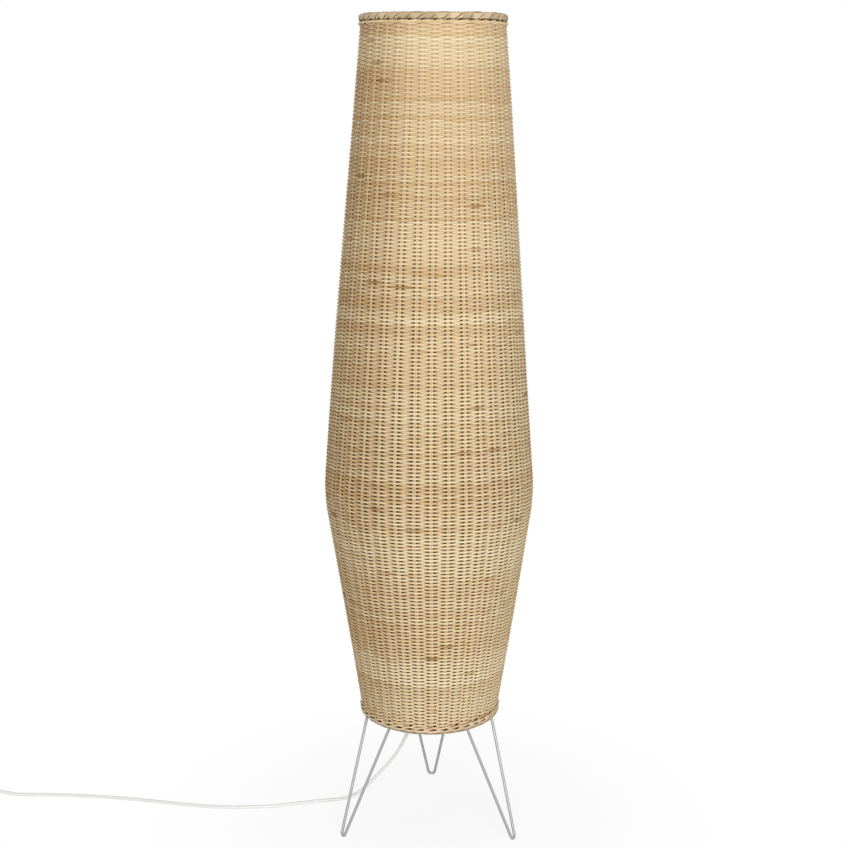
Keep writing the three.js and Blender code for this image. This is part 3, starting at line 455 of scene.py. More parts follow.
def add_node(tree, kind, settings=None, inputs=None, stops=None):
    """Adds a node with its settings, its inputs, which are values or other nodes' outputs, and a ramp's
    stops, of which the first two are those that a new ramp has."""
    node = tree.nodes.new(kind)
    for name, value in (settings or {}).items():
        setattr(node, name, value)
    for name, value in (inputs or {}).items():
        if isinstance(value, bpy.types.NodeSocket):
            tree.links.new(value, node.inputs[name])
        else:
            node.inputs[name].default_value = value
    for index, (position, colour) in enumerate(stops or []):
        ramp = node.color_ramp.elements
        stop = ramp[index] if index < 2 else ramp.new(position)
        stop.position, stop.color = position, colour
    return node


def new_material(name):
    """An empty material with its tree and its Principled shader."""
    material = bpy.data.materials.new(name)
    material.use_nodes = True
    shader = material.node_tree.nodes["Principled BSDF"]
    return material, material.node_tree, shader


def fibrous_reed(name, deep, brown, tan, straw, pale):
    """Reed with fine fibres along it and a dull silk. Attributes give each rod its tone, and a painted
    shade, a dark brown, where it lies hidden behind others."""
    material, tree, shader = new_material(name)
    fibre_length, fibre_width, fibre_depth = 22 * MM, 0.55 * MM, 0.15 * MM
    fibre_contrast, fibre_relief = 0.3, 0.35
    smoothest, roughest, sheen = 0.62, 0.86, 0.1
    tan_at, straw_at = 0.26, 0.6
    tone = add_node(tree, "ShaderNodeAttribute", {"attribute_name": "tone"}).outputs["Fac"]
    place = add_node(tree, "ShaderNodeAttribute", {"attribute_name": "reed_place"}).outputs["Vector"]
    stretched = add_node(tree, "ShaderNodeVectorMath", {"operation": "MULTIPLY"},
                         {0: place, 1: (1 / fibre_length, 1 / fibre_width, 1 / fibre_width)}).outputs[0]
    fibres = add_node(tree, "ShaderNodeTexNoise", None,
                      {"Vector": stretched, "Scale": 1.0, "Detail": 3.0, "Roughness": 0.6}).outputs["Fac"]
    shifted = add_node(tree, "ShaderNodeMath", {"operation": "MULTIPLY_ADD"},
                       {0: fibres, 1: fibre_contrast, 2: -fibre_contrast / 2}).outputs[0]
    both = add_node(tree, "ShaderNodeMath", {"operation": "ADD", "use_clamp": True},
                    {0: tone, 1: shifted}).outputs[0]
    colour = add_node(tree, "ShaderNodeValToRGB", None, {"Fac": both}, [
        (0.0, brown), (1.0, pale), (tan_at, tan), (straw_at, straw)]).outputs["Color"]
    # Painted shade: mixes the reed towards a dark brown where an attribute says it lies hidden
    sheltered = add_node(tree, "ShaderNodeAttribute", {"attribute_name": "sheltered"}).outputs["Fac"]
    with_painted_shade = add_node(tree, "ShaderNodeMix", {"data_type": "RGBA"},
                         {"Factor": sheltered, MIX_A: colour, MIX_B: deep}).outputs[MIX_COLOUR]
    tree.links.new(with_painted_shade, shader.inputs["Base Color"])
    rough = add_node(tree, "ShaderNodeMapRange", None,
                     {"Value": fibres, "To Min": smoothest, "To Max": roughest}).outputs["Result"]
    tree.links.new(rough, shader.inputs["Roughness"])
    bump = add_node(tree, "ShaderNodeBump", None,
                    {"Height": fibres, "Strength": fibre_relief, "Distance": fibre_depth}).outputs["Normal"]
    tree.links.new(bump, shader.inputs["Normal"])
    shader.inputs["Specular IOR Level"].default_value = sheen
    return material


def peeled_reed(scene):
    """Peeled rattan core, woven damp and left raw: straw rods among tan ones, with brown marks here and
    there."""
    shade = scene.lamp_shade
    return fibrous_reed("peeled_reed", shade.deep, shade.brown, shade.tan, shade.straw, shade.pale)


def soaked_stake(scene):
    """Thicker core, soaked and bent hard for the borders: greyer and duller than the wall's reed."""
    shade = scene.lamp_shade
    return fibrous_reed(
        "soaked_stake", shade.deep, shade.brown, shade.border_tan, shade.border_tan, shade.border_pale)


def grained(name, colour, roughness, grain, bump_height, metallic=0.0, ior=None, mottle=0.06):
    """A smooth surface with a fine grain: the grain moves the roughness and the bump, and clouds of many
    grains' size move the colour a little."""
    material, tree, shader = new_material(name)
    grains_per_cloud, roughness_play, grain_relief = 40, 0.15, 0.25
    here = add_node(tree, "ShaderNodeTexCoord").outputs["Object"]
    noise = add_node(tree, "ShaderNodeTexNoise", None,
                     {"Vector": here, "Scale": 1 / grain, "Detail": 2.0}).outputs["Fac"]
    cloud = add_node(tree, "ShaderNodeTexNoise", None,
                     {"Vector": here, "Scale": 1 / (grains_per_cloud * grain), "Detail": 3.0}).outputs["Fac"]
    dark = tuple(channel * (1 - mottle) for channel in colour[:3]) + (1.0,)
    light = tuple(min(1, channel * (1 + mottle / 2)) for channel in colour[:3]) + (1.0,)
    mixed = add_node(tree, "ShaderNodeMix", {"data_type": "RGBA"},
                     {"Factor": cloud, MIX_A: dark, MIX_B: light}).outputs[MIX_COLOUR]
    tree.links.new(mixed, shader.inputs["Base Color"])
    rough = add_node(tree, "ShaderNodeMapRange", None,
                     {"Value": noise, "To Min": roughness * (1 - roughness_play),
                      "To Max": roughness * (1 + roughness_play)}).outputs["Result"]
    tree.links.new(rough, shader.inputs["Roughness"])
    bump = add_node(tree, "ShaderNodeBump", None,
                    {"Height": noise, "Strength": grain_relief, "Distance": bump_height}).outputs["Normal"]
    tree.links.new(bump, shader.inputs["Normal"])
    shader.inputs["Metallic"].default_value = metallic
    if ior:
        shader.inputs["IOR"].default_value = ior
    return material


def powder_coated_steel(scene):
    """Grey powder coat with fine metal flake, baked on steel wire: satin, with a faint orange peel."""
    return grained("powder_coated_steel", scene.lamp_base.coating, 0.34, 0.9 * MM, 0.05 * MM, metallic=0.35)


def zinc_plated_steel(scene):
    """Zinc plate on turned and stamped steel: bright grey metal, slightly cloudy."""
    return grained("zinc_plated_steel", scene.lamp_base.zinc, 0.32, 0.5 * MM, 0.02 * MM, metallic=1.0,
                   mottle=0.12)


def rolled_brass(scene):
    """Rolled brass strip: warm yellow metal with a soft shine."""
    return grained("rolled_brass", scene.lamp_base.brass, 0.26, 0.4 * MM, 0.01 * MM, metallic=1.0, mottle=0.1)


def pressed_steatite(scene):
    """Unglazed steatite, pressed and fired: dull cream ceramic."""
    return grained("pressed_steatite", scene.lamp_base.steatite, 0.6, 0.3 * MM, 0.03 * MM, ior=1.6)


def opal_glass(scene):
    """Blown glass, flashed white inside: a smooth milky skin with a clear sheen."""
    return grained("opal_glass", scene.lamp_base.opal, 0.16, 3 * MM, 0.01 * MM, ior=1.52, mottle=0.02)


def black_vitrite(scene):
    """Vitrite, the black glass poured into a bulb's cap: glossy black."""
    return grained("black_vitrite", scene.lamp_base.vitrite, 0.12, 1 * MM, 0.02 * MM, ior=1.52, mottle=0.3)


def moulded_abs(scene):
    """ABS moulded in a fine spark-eroded tool: white with an even satin."""
    return grained("moulded_abs", scene.lamp_cord.plastic, 0.42, 0.35 * MM, 0.03 * MM, ior=1.54, mottle=0.015)


def extruded_pvc(scene):
    """Soft PVC, extruded over the cores: white, smooth, slightly waxy."""
    return grained("extruded_pvc", scene.lamp_cord.sheath, 0.38, 1.2 * MM, 0.02 * MM, ior=1.53, mottle=0.02)


# Places that several pieces share

# The cord's way from the grip over the floor to the switch, in metres
CORD_ROUTE = [
    (0, 0, 0.229), (-0.0015, 0.001, 0.22), (-0.006, 0.004, 0.2085), (-0.0125, 0.008, 0.197),
    (-0.02, 0.0125, 0.184), (-0.028, 0.017, 0.168), (-0.0355, 0.0215, 0.152), (-0.043, 0.026, 0.135),
    (-0.051, 0.0305, 0.117), (-0.06, 0.034, 0.0995), (-0.072, 0.0375, 0.082), (-0.086, 0.0405, 0.065),
    (-0.1, 0.043, 0.048), (-0.1145, 0.0455, 0.0315), (-0.13, 0.048, 0.0175), (-0.146, 0.05, 0.008),
    (-0.164, 0.05, 0.0038), (-0.183, 0.047, 0.003), (-0.21, 0.04, 0.003), (-0.245, 0.029, 0.003),
    (-0.285, 0.019, 0.003), (-0.33, 0.014, 0.003), (-0.375, 0.013, 0.003), (-0.42, 0.018, 0.003),
    (-0.47, 0.027, 0.003), (-0.53, 0.038, 0.003), (-0.6, 0.047, 0.003), (-0.67, 0.051, 0.003),
    (-0.725, 0.0505, 0.003), (-0.75, 0.05, 0.0039), (-0.768, 0.05, 0.0066), (-0.782, 0.05, 0.009),
]


def middle_of(node):
    """The middle of a CAD node's box."""
    low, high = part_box(node)
    return (low + high) / 2


def ring_line(radius, angle, height):
    """A line round the lamp's axis, from its radius, angle and height at each point."""
    return np.stack([radius * np.cos(angle), radius * np.sin(angle), height], 1)


def shade_radius(settings, height):
    """Outside radius of the weave: a straight cone, a rounded belly and a cone that bulges a little."""
    rise = (settings.belly_radius - settings.bottom_radius) / (settings.belly_height - settings.bottom_height)
    fall = (settings.top_radius - settings.belly_radius) / (settings.top_height - settings.belly_height)
    past = np.asarray(height, float) - settings.belly_height
    upper_share = np.maximum(0, past / (settings.top_height - settings.belly_height))
    bulge = settings.upper_bulge * 4 * upper_share * (1 - upper_share)
    blend = settings.belly_blend
    across = np.clip((past + blend) / (2 * blend), 0, 1)
    turning = rise * across + (fall - rise) * across ** 2 / 2
    bent = settings.belly_radius - blend * rise + 2 * blend * turning
    straight = settings.belly_radius + past * np.where(past < 0, rise, fall)
    return np.where(np.abs(past) < blend, bent, straight) + bulge


def stake_line_radius(settings, height):
    """Where the stakes' middle lines run, inside the weave's outer face."""
    return shade_radius(settings, height) - settings.stake_depth / 2 - settings.reed_diameter


class Wander:
    """Each pair's stray from its even place round the shade, as a smooth function of height."""

    wave_count = 3
    shortest_wave = 0.25
    longest_wave = 0.9
    moving_share = 0.35

    def __init__(self, settings):
        rng = np.random.default_rng(settings.seed)
        waves = (settings.pair_count, self.wave_count)
        self.fixed = rng.uniform(-1, 1, settings.pair_count) * settings.pair_wander
        self.waves = rng.uniform(self.shortest_wave, self.longest_wave, waves)
        self.starts = rng.uniform(0, FULL_TURN, waves)
        self.reach = settings.pair_wander * self.moving_share

    def at(self, pair, height):
        pair = np.asarray(pair)
        turns = np.asarray(height)[..., None] / self.waves[pair] * FULL_TURN
        return self.fixed[pair] + self.reach * np.sin(self.starts[pair] + turns).sum(-1) / 2


def handmade(settings, points):
    """Points of the shade as the weaver left them: the axis sways a little and the edges aren't level."""
    wave_start, wave_length, firm_foot, rim_from, foot_to = 0.43, 1.14, 0.3, 0.8, 0.1
    share = (points[:, 2] - settings.bottom_height) / (settings.top_height - settings.bottom_height)
    wave = -np.cos((share - wave_start) / wave_length * FULL_TURN) * np.clip(share / firm_foot, 0, 1)
    front_and_back = (points[:, 1] / np.hypot(points[:, 0], points[:, 1])) ** 2
    lift = settings.rim_dip * (1 - front_and_back) * smoothed((share - rim_from) / (1 - rim_from))
    lift -= settings.foot_dip * front_and_back * smoothed((foot_to - share) / foot_to)
    return points + np.stack([settings.sway * wave, np.zeros(len(points)), lift], 1)


def shade_piece(settings, parts, name, maker, slot, node):
    """Makes a piece of the shade, as uneven as the weaver left it."""
    parts.points = [handmade(settings, points) for points in parts.points]
    placed(parts.mesh(name), maker, "shade", slot, node)


def settled_noise(rng, count, spacing):
    """Smooth random values from -1 to 1, one for each step, that change over about spacing steps."""
    knots = rng.uniform(-1, 1, max(2, int(count / spacing) + 3))
    at = np.arange(count) / spacing
    whole = at.astype(int)
    share = smoothed(at - whole)
    return knots[whole] * (1 - share) + knots[whole + 1] * share


# Operators

class LAMP_OT_stage(bpy.types.Operator):
    """Floor, soft studio light and the camera at the photograph's angle"""

    bl_idname = "rattan_lamp.stage"
    bl_label = "Stage"

    def execute(self, context):
        settings = context.scene.lamp_stage
        self.add_floor(context, settings)
        self.light_world(context, settings)
        self.add_lights(context, settings)
        self.add_camera(context, settings)
        context.scene.view_settings.view_transform = "Standard"
        return {"FINISHED"}

    def add_floor(self, context, settings):
        reach = 14.0
        corners = [(-reach, -reach, 0), (reach, -reach, 0), (reach, reach, 0), (-reach, reach, 0)]
        mesh = bpy.data.meshes.new("floor")
        mesh.from_pydata(corners, [], [(0, 1, 2, 3)])
        mesh.materials.append(self.floor_paper(settings))
        floor = bpy.data.objects.new("floor", mesh)
        context.scene.collection.objects.link(floor)

    def floor_paper(self, settings):
        """Matt white paper. To the camera it shows as evenly lit away from the lamp, and keeps its shadow
        near it."""
        roughness, sheen = 0.9, 0.1
        material, tree, shader = new_material("floor_paper")
        shader.inputs["Base Color"].default_value = settings.floor
        shader.inputs["Roughness"].default_value = roughness
        shader.inputs["Specular IOR Level"].default_value = sheen
        white = add_node(tree, "ShaderNodeEmission", None, {"Color": (1, 1, 1, 1), "Strength": 1.0})
        place = add_node(tree, "ShaderNodeTexCoord")
        away = add_node(tree, "ShaderNodeVectorMath", {"operation": "LENGTH"}, {0: place.outputs["Object"]})
        glow = add_node(tree, "ShaderNodeMapRange", {"interpolation_type": "SMOOTHSTEP"},
                        {"Value": away.outputs["Value"], "From Max": settings.shadow_reach,
                         "To Min": settings.floor_glow, "To Max": 1.0})
        share = add_node(tree, "ShaderNodeMath", {"operation": "MULTIPLY"},
                         {0: self.seen_by(tree), 1: glow.outputs["Result"]})
        mix = add_node(tree, "ShaderNodeMixShader", None,
                       {"Fac": share.outputs[0], 1: shader.outputs[0], 2: white.outputs[0]})
        tree.links.new(mix.outputs[0], tree.nodes["Material Output"].inputs["Surface"])
        return material

    def seen_by(self, tree):
        """1 for the rays that show the backdrop: to the camera, off metal and through glass."""
        rays = add_node(tree, "ShaderNodeLightPath").outputs
        shiny = add_node(tree, "ShaderNodeMath", {"operation": "MAXIMUM"},
                         {0: rays["Is Glossy Ray"], 1: rays["Is Transmission Ray"]})
        return add_node(tree, "ShaderNodeMath", {"operation": "MAXIMUM"},
                        {0: rays["Is Camera Ray"], 1: shiny.outputs[0]}).outputs[0]

    def light_world(self, context, settings):
        world = bpy.data.worlds.new("studio")
        world.use_nodes = True
        context.scene.world = world
        tree = world.node_tree
        strength = add_node(tree, "ShaderNodeMapRange", None,
                            {"Value": self.seen_by(tree), "To Min": settings.sky, "To Max": 1.0})
        background = tree.nodes["Background"]
        background.inputs["Color"].default_value = (1, 1, 1, 1)
        tree.links.new(strength.outputs["Result"], background.inputs["Strength"])

    def add_lights(self, context, settings):
        """Two square softboxes turned to the lamp's middle."""
        side = 2.0
        target = Vector((0, 0, 0.7))
        for name, power, place in (("key_softbox", settings.key, Vector((0.66, -3.4, 1.75))),
                                   ("fill_softbox", settings.fill, Vector((-2.2, 2.6, 1.7)))):
            data = bpy.data.lights.new(name, "AREA")
            data.shape, data.size, data.energy = "SQUARE", side, power
            lamp = bpy.data.objects.new(name, data)
            lamp.location = place
            lamp.rotation_euler = (target - place).to_track_quat("-Z", "Y").to_euler()
            context.scene.collection.objects.link(lamp)

    def add_camera(self, context, settings):
        picture_side = 848
        sensor_side = 36
        data = bpy.data.cameras.new("camera")
        data.sensor_width = sensor_side
        data.lens = settings.focal_pixels / picture_side * sensor_side
        data.dof.use_dof = False
        camera = bpy.data.objects.new("camera", data)
        turn = (Matrix.Rotation(settings.heading, 4, "Z")
                @ Matrix.Rotation(math.pi / 2 - settings.pitch, 4, "X")
                @ Matrix.Rotation(settings.roll, 4, "Z"))
        camera.matrix_world = Matrix.Translation(settings.camera_place) @ turn
        context.scene.collection.objects.link(camera)
        context.scene.camera = camera


class LAMP_OT_cord(bpy.types.Operator):
    """The white cord: out of the grip, to the floor, through the switch, into its coil and to the plug"""

    bl_idname = "rattan_lamp.cord"
    bl_label = "Cord"

    step = 2.2 * MM
    curve_steps = 6
    lead_points = 12
    points_per_turn = 60
    climb_turns = 0.5

    def execute(self, context):
        settings = context.scene.lamp_cord
        exit_point = (0.0, 0.0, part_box("cord_run")[1].z)
        run = curve_through([exit_point, *CORD_ROUTE, *self.inside_switch()], self.curve_steps)
        line = even_steps(np.vstack([run, self.coil(settings)]), self.step)
        data = bpy.data.curves.new("cord", "CURVE")
        data.dimensions = "3D"
        data.bevel_depth = settings.diameter / 2
        data.bevel_resolution = 5
        data.use_fill_caps = True
        spline = data.splines.new("POLY")
        spline.points.add(len(line) - 1)
        spline.points.foreach_set("co", np.column_stack([line, np.ones(len(line))]).ravel())
        spline.use_smooth = True
        cord = bpy.data.objects.new("cord", data)
        context.scene.collection.objects.link(cord)
        data.materials.append(made_once(extruded_pvc))
        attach(cord, "stand")
        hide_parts("cord_run", "cord_coil")
        return {"FINISHED"}

    def inside_switch(self):
        """Inside the housing the cord dips under the rocker. Along X its places are shares of half the
        housing's length."""
        under_rocker = 4.6 * MM
        first_dip = 1.2 * MM
        low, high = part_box("switch_base")
        middle = (low + high) / 2
        half = (high.x - low.x) / 2
        axis = CORD_ROUTE[-1][2]
        return [(middle.x + share * half, middle.y, height) for share, height in (
            (1.0, axis), (0.72, axis - first_dip), (0.35, under_rocker), (-0.35, under_rocker),
            (-0.72, axis - first_dip), (-1.0, axis))]

    def coil(self, settings):
        """Lead in, turns that spiral in and out again in two layers, lead out to the plug."""
        first_y = CORD_ROUTE[-1][1]
        middle_y = first_y + settings.coil_radius
        last_y = middle_y + settings.coil_radius
        axis = CORD_ROUTE[-1][2]
        plug_axis = middle_of("plug_body").z
        straight = settings.diameter
        share = np.linspace(0, 1, self.lead_points)
        lead_in = np.stack([
            settings.coil_centre + (settings.lead_in - straight) * (1 - share),
            np.full(len(share), first_y),
            axis + (settings.coil_low - axis) * smoothed(share)], 1)
        steps = int(settings.coil_turns * self.points_per_turn)
        turn = np.arange(steps + 1) / self.points_per_turn
        inward = np.where(turn < settings.coil_reverse, turn, 2 * settings.coil_reverse - turn)
        radius = settings.coil_radius - settings.coil_pitch * inward
        angle = -math.pi / 2 - turn * FULL_TURN
        climb = smoothed((turn - settings.coil_reverse) / self.climb_turns + 0.5)
        turns = np.stack([
            settings.coil_centre + radius * np.cos(angle),
            middle_y + radius * np.sin(angle),
            settings.coil_low + settings.coil_rise * climb], 1)
        high = settings.coil_low + settings.coil_rise
        lead_out = np.stack([
            settings.coil_centre + (settings.lead_out - straight) * share,
            np.full(len(share), last_y),
            high + (plug_axis - high) * smoothed(share)], 1)
        start = [(settings.coil_centre + settings.lead_in, first_y, axis)]
        end = [(settings.coil_centre + settings.lead_out, last_y, plug_axis)]
        return np.vstack([start, lead_in[:-1], turns[:-1], lead_out, end])


class Weaver:
    """Lays reeds, one after the other, in a line that climbs round the shade. A place on that line is
    counted in pairs of stakes: the reed is outside at even ones and inside at odd ones."""

    # Share of a pair's spacing left free at both ends of a reed, and how a reed strays up and down
    butt = 0.01
    lift_reach = 0.08 * MM
    lift_pairs = 5

    # Tone along one reed: a slow drift, and dark marks, on average one in so many samples
    drift_reach = 0.07
    drift_pairs = 7
    samples_per_mark = 900
    mark_reach = (0.2, 0.55)
    mark_width = (3, 9)

    # Thickness along one reed, how it flattens in a bend, and how fast the painted shade comes in
    # on its hidden side
    wobble_reach = 0.02
    wobble_samples = 9
    flattening = 0.5
    shelter_fade = 0.4

    # Where the painted shade on the side away from the key light begins, by the cosine of the angle from it,
    # and its fade
    side_from = 0.15
    side_fade = 0.6

    def __init__(self, settings, rng, pitch):
        self.settings = settings
        self.rng = rng
        self.pitch = pitch
        self.wander = Wander(settings)

    def add_rod(self, parts, start, end, diameter, tone, along):
        """One reed from behind one pair to behind another, butted against its neighbours."""
        settings, rng = self.settings, self.rng
        pairs = settings.pair_count
        place = np.linspace(start + self.butt, end - self.butt, (end - start) * SAMPLES_PER_PAIR + 1)
        count = len(place)
        height = settings.wall_low + self.pitch * (0.5 + place / pairs)
        narrowing = settings.belly_radius / shade_radius(settings, height)
        spread = settings.reed_spread * narrowing ** settings.spread_growth
        weave = np.cos(math.pi * place)
        bend = (settings.stake_depth + diameter * (1 - self.flattening * spread)) / 2
        angle = place / pairs * FULL_TURN + self.stray(place, height)
        lift = settled_noise(rng, count, SAMPLES_PER_PAIR * self.lift_pairs) * self.lift_reach
        line = ring_line(stake_line_radius(settings, height) + bend * weave, angle, height + lift)
        drift = settled_noise(rng, count, SAMPLES_PER_PAIR * self.drift_pairs) * self.drift_reach
        marks = self.marks(count)
        wobble = 1 + self.wobble_reach * settled_noise(rng, count, self.wobble_samples)
        # Painted shade: the reed's tone is darker on the lamp's -X side, away from the key light
        away = smoothed((-np.cos(angle) - self.side_from) / self.side_fade)
        tones = np.clip(tone + drift + marks - settings.browned_side * away, 0, 1)
        pressed = weave ** 2 * spread
        oval = np.stack([1 - self.flattening * pressed, 1 + pressed], 1)
        section = circle(diameter / 2, REED_SIDES)[None] * oval[:, None, :]
        # Painted shade in the pockets: where the reed passes behind a pair its outward side is darkened, more
        # so lower down
        rise = (height - settings.belly_height) / (settings.top_height - settings.belly_height)
        hidden = settings.hidden_low + (settings.hidden_high - settings.hidden_low) * rise
        sheltered = smoothed((-weave - hidden) / self.shelter_fade)
        return parts.sweep(line, section, size=wobble, tone=tones, sheltered=sheltered, along_from=along)

    def stray(self, place, height):
        """How far the stakes' wander carries the reed round the shade."""
        pairs = self.settings.pair_count
        pair = np.floor(place).astype(int)
        share = place - pair
        return (self.wander.at(pair % pairs, height) * (1 - share)
                + self.wander.at((pair + 1) % pairs, height) * share)

    def marks(self, count):
        """What a reed's dark marks take from its tone at each sample."""
        made = np.zeros(count)
        for _ in range(self.rng.poisson(count / self.samples_per_mark)):
            spot, width = self.rng.uniform(0, count), self.rng.uniform(*self.mark_width)
            reach = self.rng.uniform(*self.mark_reach)
            made -= reach * np.exp(-((np.arange(count) - spot) / width) ** 2)
        return made


class LAMP_OT_weave(bpy.types.Operator):
    """The wall: reed after reed in one climbing line, over one pair of stakes and under the next"""

    bl_idname = "rattan_lamp.weave"
    bl_label = "Woven wall"

    # A reed's length as shares of the mean, its least number of pairs, and how far its thickness varies
    length_shares = (0.45, 1.5)
    fewest_pairs = 8
    diameter_play = 0.025

    # A reed's tone: the mean, and how far bundles, batches and single reeds differ from it. A bundle and a
    # batch last so many rows.
    mean_tone = 0.62
    bundle_tone = 0.09
    bundle_rows = 26
    batch_tone = 0.06
    batch_rows = 9
    reed_tone = 0.13

    def execute(self, context):
        settings = context.scene.lamp_shade
        rng = np.random.default_rng(settings.seed + 1)
        pairs = settings.pair_count
        height = settings.wall_high - settings.wall_low
        rows = round(height / settings.row_height)
        weaver = Weaver(settings, rng, height / rows)
        first, last = -pairs, rows * pairs - (1 - rows % 2)
        bundles = settled_noise(rng, rows + 2, self.bundle_rows)
        batches = settled_noise(rng, rows + 2, self.batch_rows)
        parts, number, start, along = Parts(), 1, first, 0.0
        while start < last:
            row = (start - first) // pairs
            around = FULL_TURN * float(shade_radius(settings, settings.wall_low + weaver.pitch * row))
            reach = settings.rod_length * rng.uniform(*self.length_shares) / around * pairs
            end = min(last, start + 2 * max(self.fewest_pairs // 2, round(reach / 2)))
            shared_tone = bundles[row] * self.bundle_tone + batches[row] * self.batch_tone
            tone = self.mean_tone + shared_tone + rng.uniform(-self.reed_tone, self.reed_tone)
            diameter = settings.reed_diameter * (1 + self.diameter_play * rng.uniform(-1, 1))
            along = weaver.add_rod(parts, start, end, diameter, tone, along)
            start = end
            if sum(len(quads) for quads in parts.quads) > MOST_FACES or start >= last:
                shade_piece(settings, parts, f"weave_{number}", peeled_reed, "rattan", "shade_wall")
                parts, number = Parts(), number + 1
        return {"FINISHED"}


class LAMP_OT_stakes(bpy.types.Operator):
    """The upright pairs of stakes that the reed is woven round"""

    bl_idname = "rattan_lamp.stakes"
    bl_label = "Stakes"

    samples = 90
    into_border = 2 * MM

    # Spacing of a pair's two stakes as a share of their width, and how far it, tone and thickness vary
    spacing = 1.04
    spacing_play, spacing_samples = 0.04, 12
    tones = (0.55, 0.85)
    tone_play, tone_samples = 0.08, 7
    size_play, size_samples = 0.03, 6

    def execute(self, context):
        settings = context.scene.lamp_shade
        rng = np.random.default_rng(settings.seed + 2)
        wander = Wander(settings)
        parts = Parts()
        heights = np.linspace(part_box("bottom_border")[1].z - self.into_border,
                              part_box("top_border")[0].z + self.into_border, self.samples)
        along = 0.0
        radius = stake_line_radius(settings, heights)
        oval = circle(0.5, STAKE_SIDES) * (settings.stake_depth, settings.stake_diameter)
        for place in range(2 * settings.pair_count):
            pair, side = place // 2, place % 2 - 0.5
            angle = (pair / settings.pair_count * FULL_TURN
                     + wander.at(np.full(self.samples, pair), heights))
            strays = settled_noise(rng, self.samples, self.spacing_samples)
            spacing = self.spacing + self.spacing_play * strays
            angle += side * settings.stake_diameter * spacing / radius
            across = np.stack([-np.sin(angle), np.cos(angle), np.zeros(self.samples)], 1)
            tone = rng.uniform(*self.tones) + self.tone_play * settled_noise(
                rng, self.samples, self.tone_samples)
            size = 1 + self.size_play * settled_noise(rng, self.samples, self.size_samples)
            along = parts.sweep(ring_line(radius, angle, heights), oval, across, size,
                                tone=np.clip(tone, 0, 1), along_from=along)
        shade_piece(settings, parts, "stakes", peeled_reed, "rattan", "shade_wall")
        return {"FINISHED"}


def add_twisted_band(settings, rng, end, weave_height, width):
    """Three reeds that wind round each other, outside two pairs of stakes and inside the third, at one end
    of the shade."""
    strands = 3
    thickness_share = 0.52
    tone_middle, tone_play, tone_samples = 0.58, 0.14, 60
    hidden, shelter_fade = 0.1, 0.6
    low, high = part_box(f"{end}_band")
    band_radius = float(shade_radius(settings, weave_height)) + settings.band_proud - width / 2
    thick = (high.z - low.z) * thickness_share
    reach = (width - thick) / 2
    play = (high.z - low.z - thick) / 2
    turn = np.arange(settings.pair_count * BAND_SAMPLES_PER_PAIR + 1) / BAND_SAMPLES_PER_PAIR
    angle = turn / settings.pair_count * FULL_TURN
    parts = Parts()
    for strand in range(strands):
        phase = (turn + strand) / strands * FULL_TURN
        line = ring_line(band_radius + reach * np.cos(phase), angle,
                         (low.z + high.z) / 2 + play * np.sin(phase))
        tone = np.clip(tone_middle + tone_play * settled_noise(rng, len(line), tone_samples), 0, 1)
        # Painted shade: a strand is darkened where it winds to the inside, behind the others
        sheltered = smoothed((-hidden - np.cos(phase)) / shelter_fade)
        parts.sweep(line, circle(thick / 2, STAKE_SIDES), tone=tone, sheltered=sheltered, along_from=strand)
    shade_piece(settings, parts, f"{end}_twisted_band", peeled_reed, "border_rattan", f"{end}_band")


def two_rods(sides=16, waist_depth=0.35, waist_width=0.25):
    """The section of two rods side by side: an oval drawn in at its waist."""
    made = circle(1.0, sides)
    made[:, 1] *= 1 - waist_depth * np.exp(-(made[:, 0] / waist_width) ** 2)
    return made


def add_rolled_border(settings, rng, end, centre_radius, width, path, tone, grey_below):
    """Pairs of stake ends bent over in turn at one end of the shade: each passes outside its neighbours and
    ends inside the roll. Their tone is darkened below a given height share, as painted shade on the roll's
    underside, and where the path's table gives them painted shade."""
    length_play, height_play = 0.06, 0.06
    darker, lighter, tone_play, tone_samples = 0.14, 0.1, 0.05, 9
    underside_painted_shade, underside_shade_fade = 0.5, 0.3
    upright_from, upright_fade = 1.2, 0.4
    pairs = settings.pair_count
    low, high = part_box(f"{end}_border")
    tall = high.z - low.z
    middle = (low.z + high.z) / 2
    steps_between = 7
    passed, outward_share, upward_share, thickness, breadth, sheltered = curve_through(path, steps_between).T
    rolled = smoothed((upright_from - np.abs(upward_share[:, None])) / upright_fade)
    section = two_rods()[None] * np.stack([breadth, thickness], 1)[:, None] * tall / 2
    parts = Parts()
    along = 0.0
    for pair in range(pairs):
        stretch = 1 + rng.uniform(-length_play, length_play)
        angle = (pair + passed * stretch) / pairs * FULL_TURN
        radius = centre_radius + outward_share * width / 2
        height = middle + (upward_share + rng.uniform(-height_play, height_play)) * tall / 2
        line = ring_line(radius, angle, height)
        outward = np.stack([np.cos(angle), np.sin(angle), np.zeros(len(angle))], 1)
        face = (outward * (outward_share[:, None] * width * rolled + tall * (1 - rolled))
                + UP * upward_share[:, None] * tall * rolled)
        face /= np.linalg.norm(face, axis=1)[:, None]
        tones = tone + rng.uniform(-darker, lighter) + tone_play * settled_noise(rng, len(line), tone_samples)
        # Painted shade: the tone is darkened low on the roll, on its underside
        tones = np.clip(tones - underside_painted_shade * smoothed((grey_below - upward_share) / underside_shade_fade), 0, 1)
        along = parts.sweep(line, section, face, tone=tones, sheltered=np.clip(sheltered, 0, 1),
                            outer_axis=1, along_from=along)
    shade_piece(settings, parts, f"{end}_rolled_border", soaked_stake, "border_rattan", f"{end}_border")


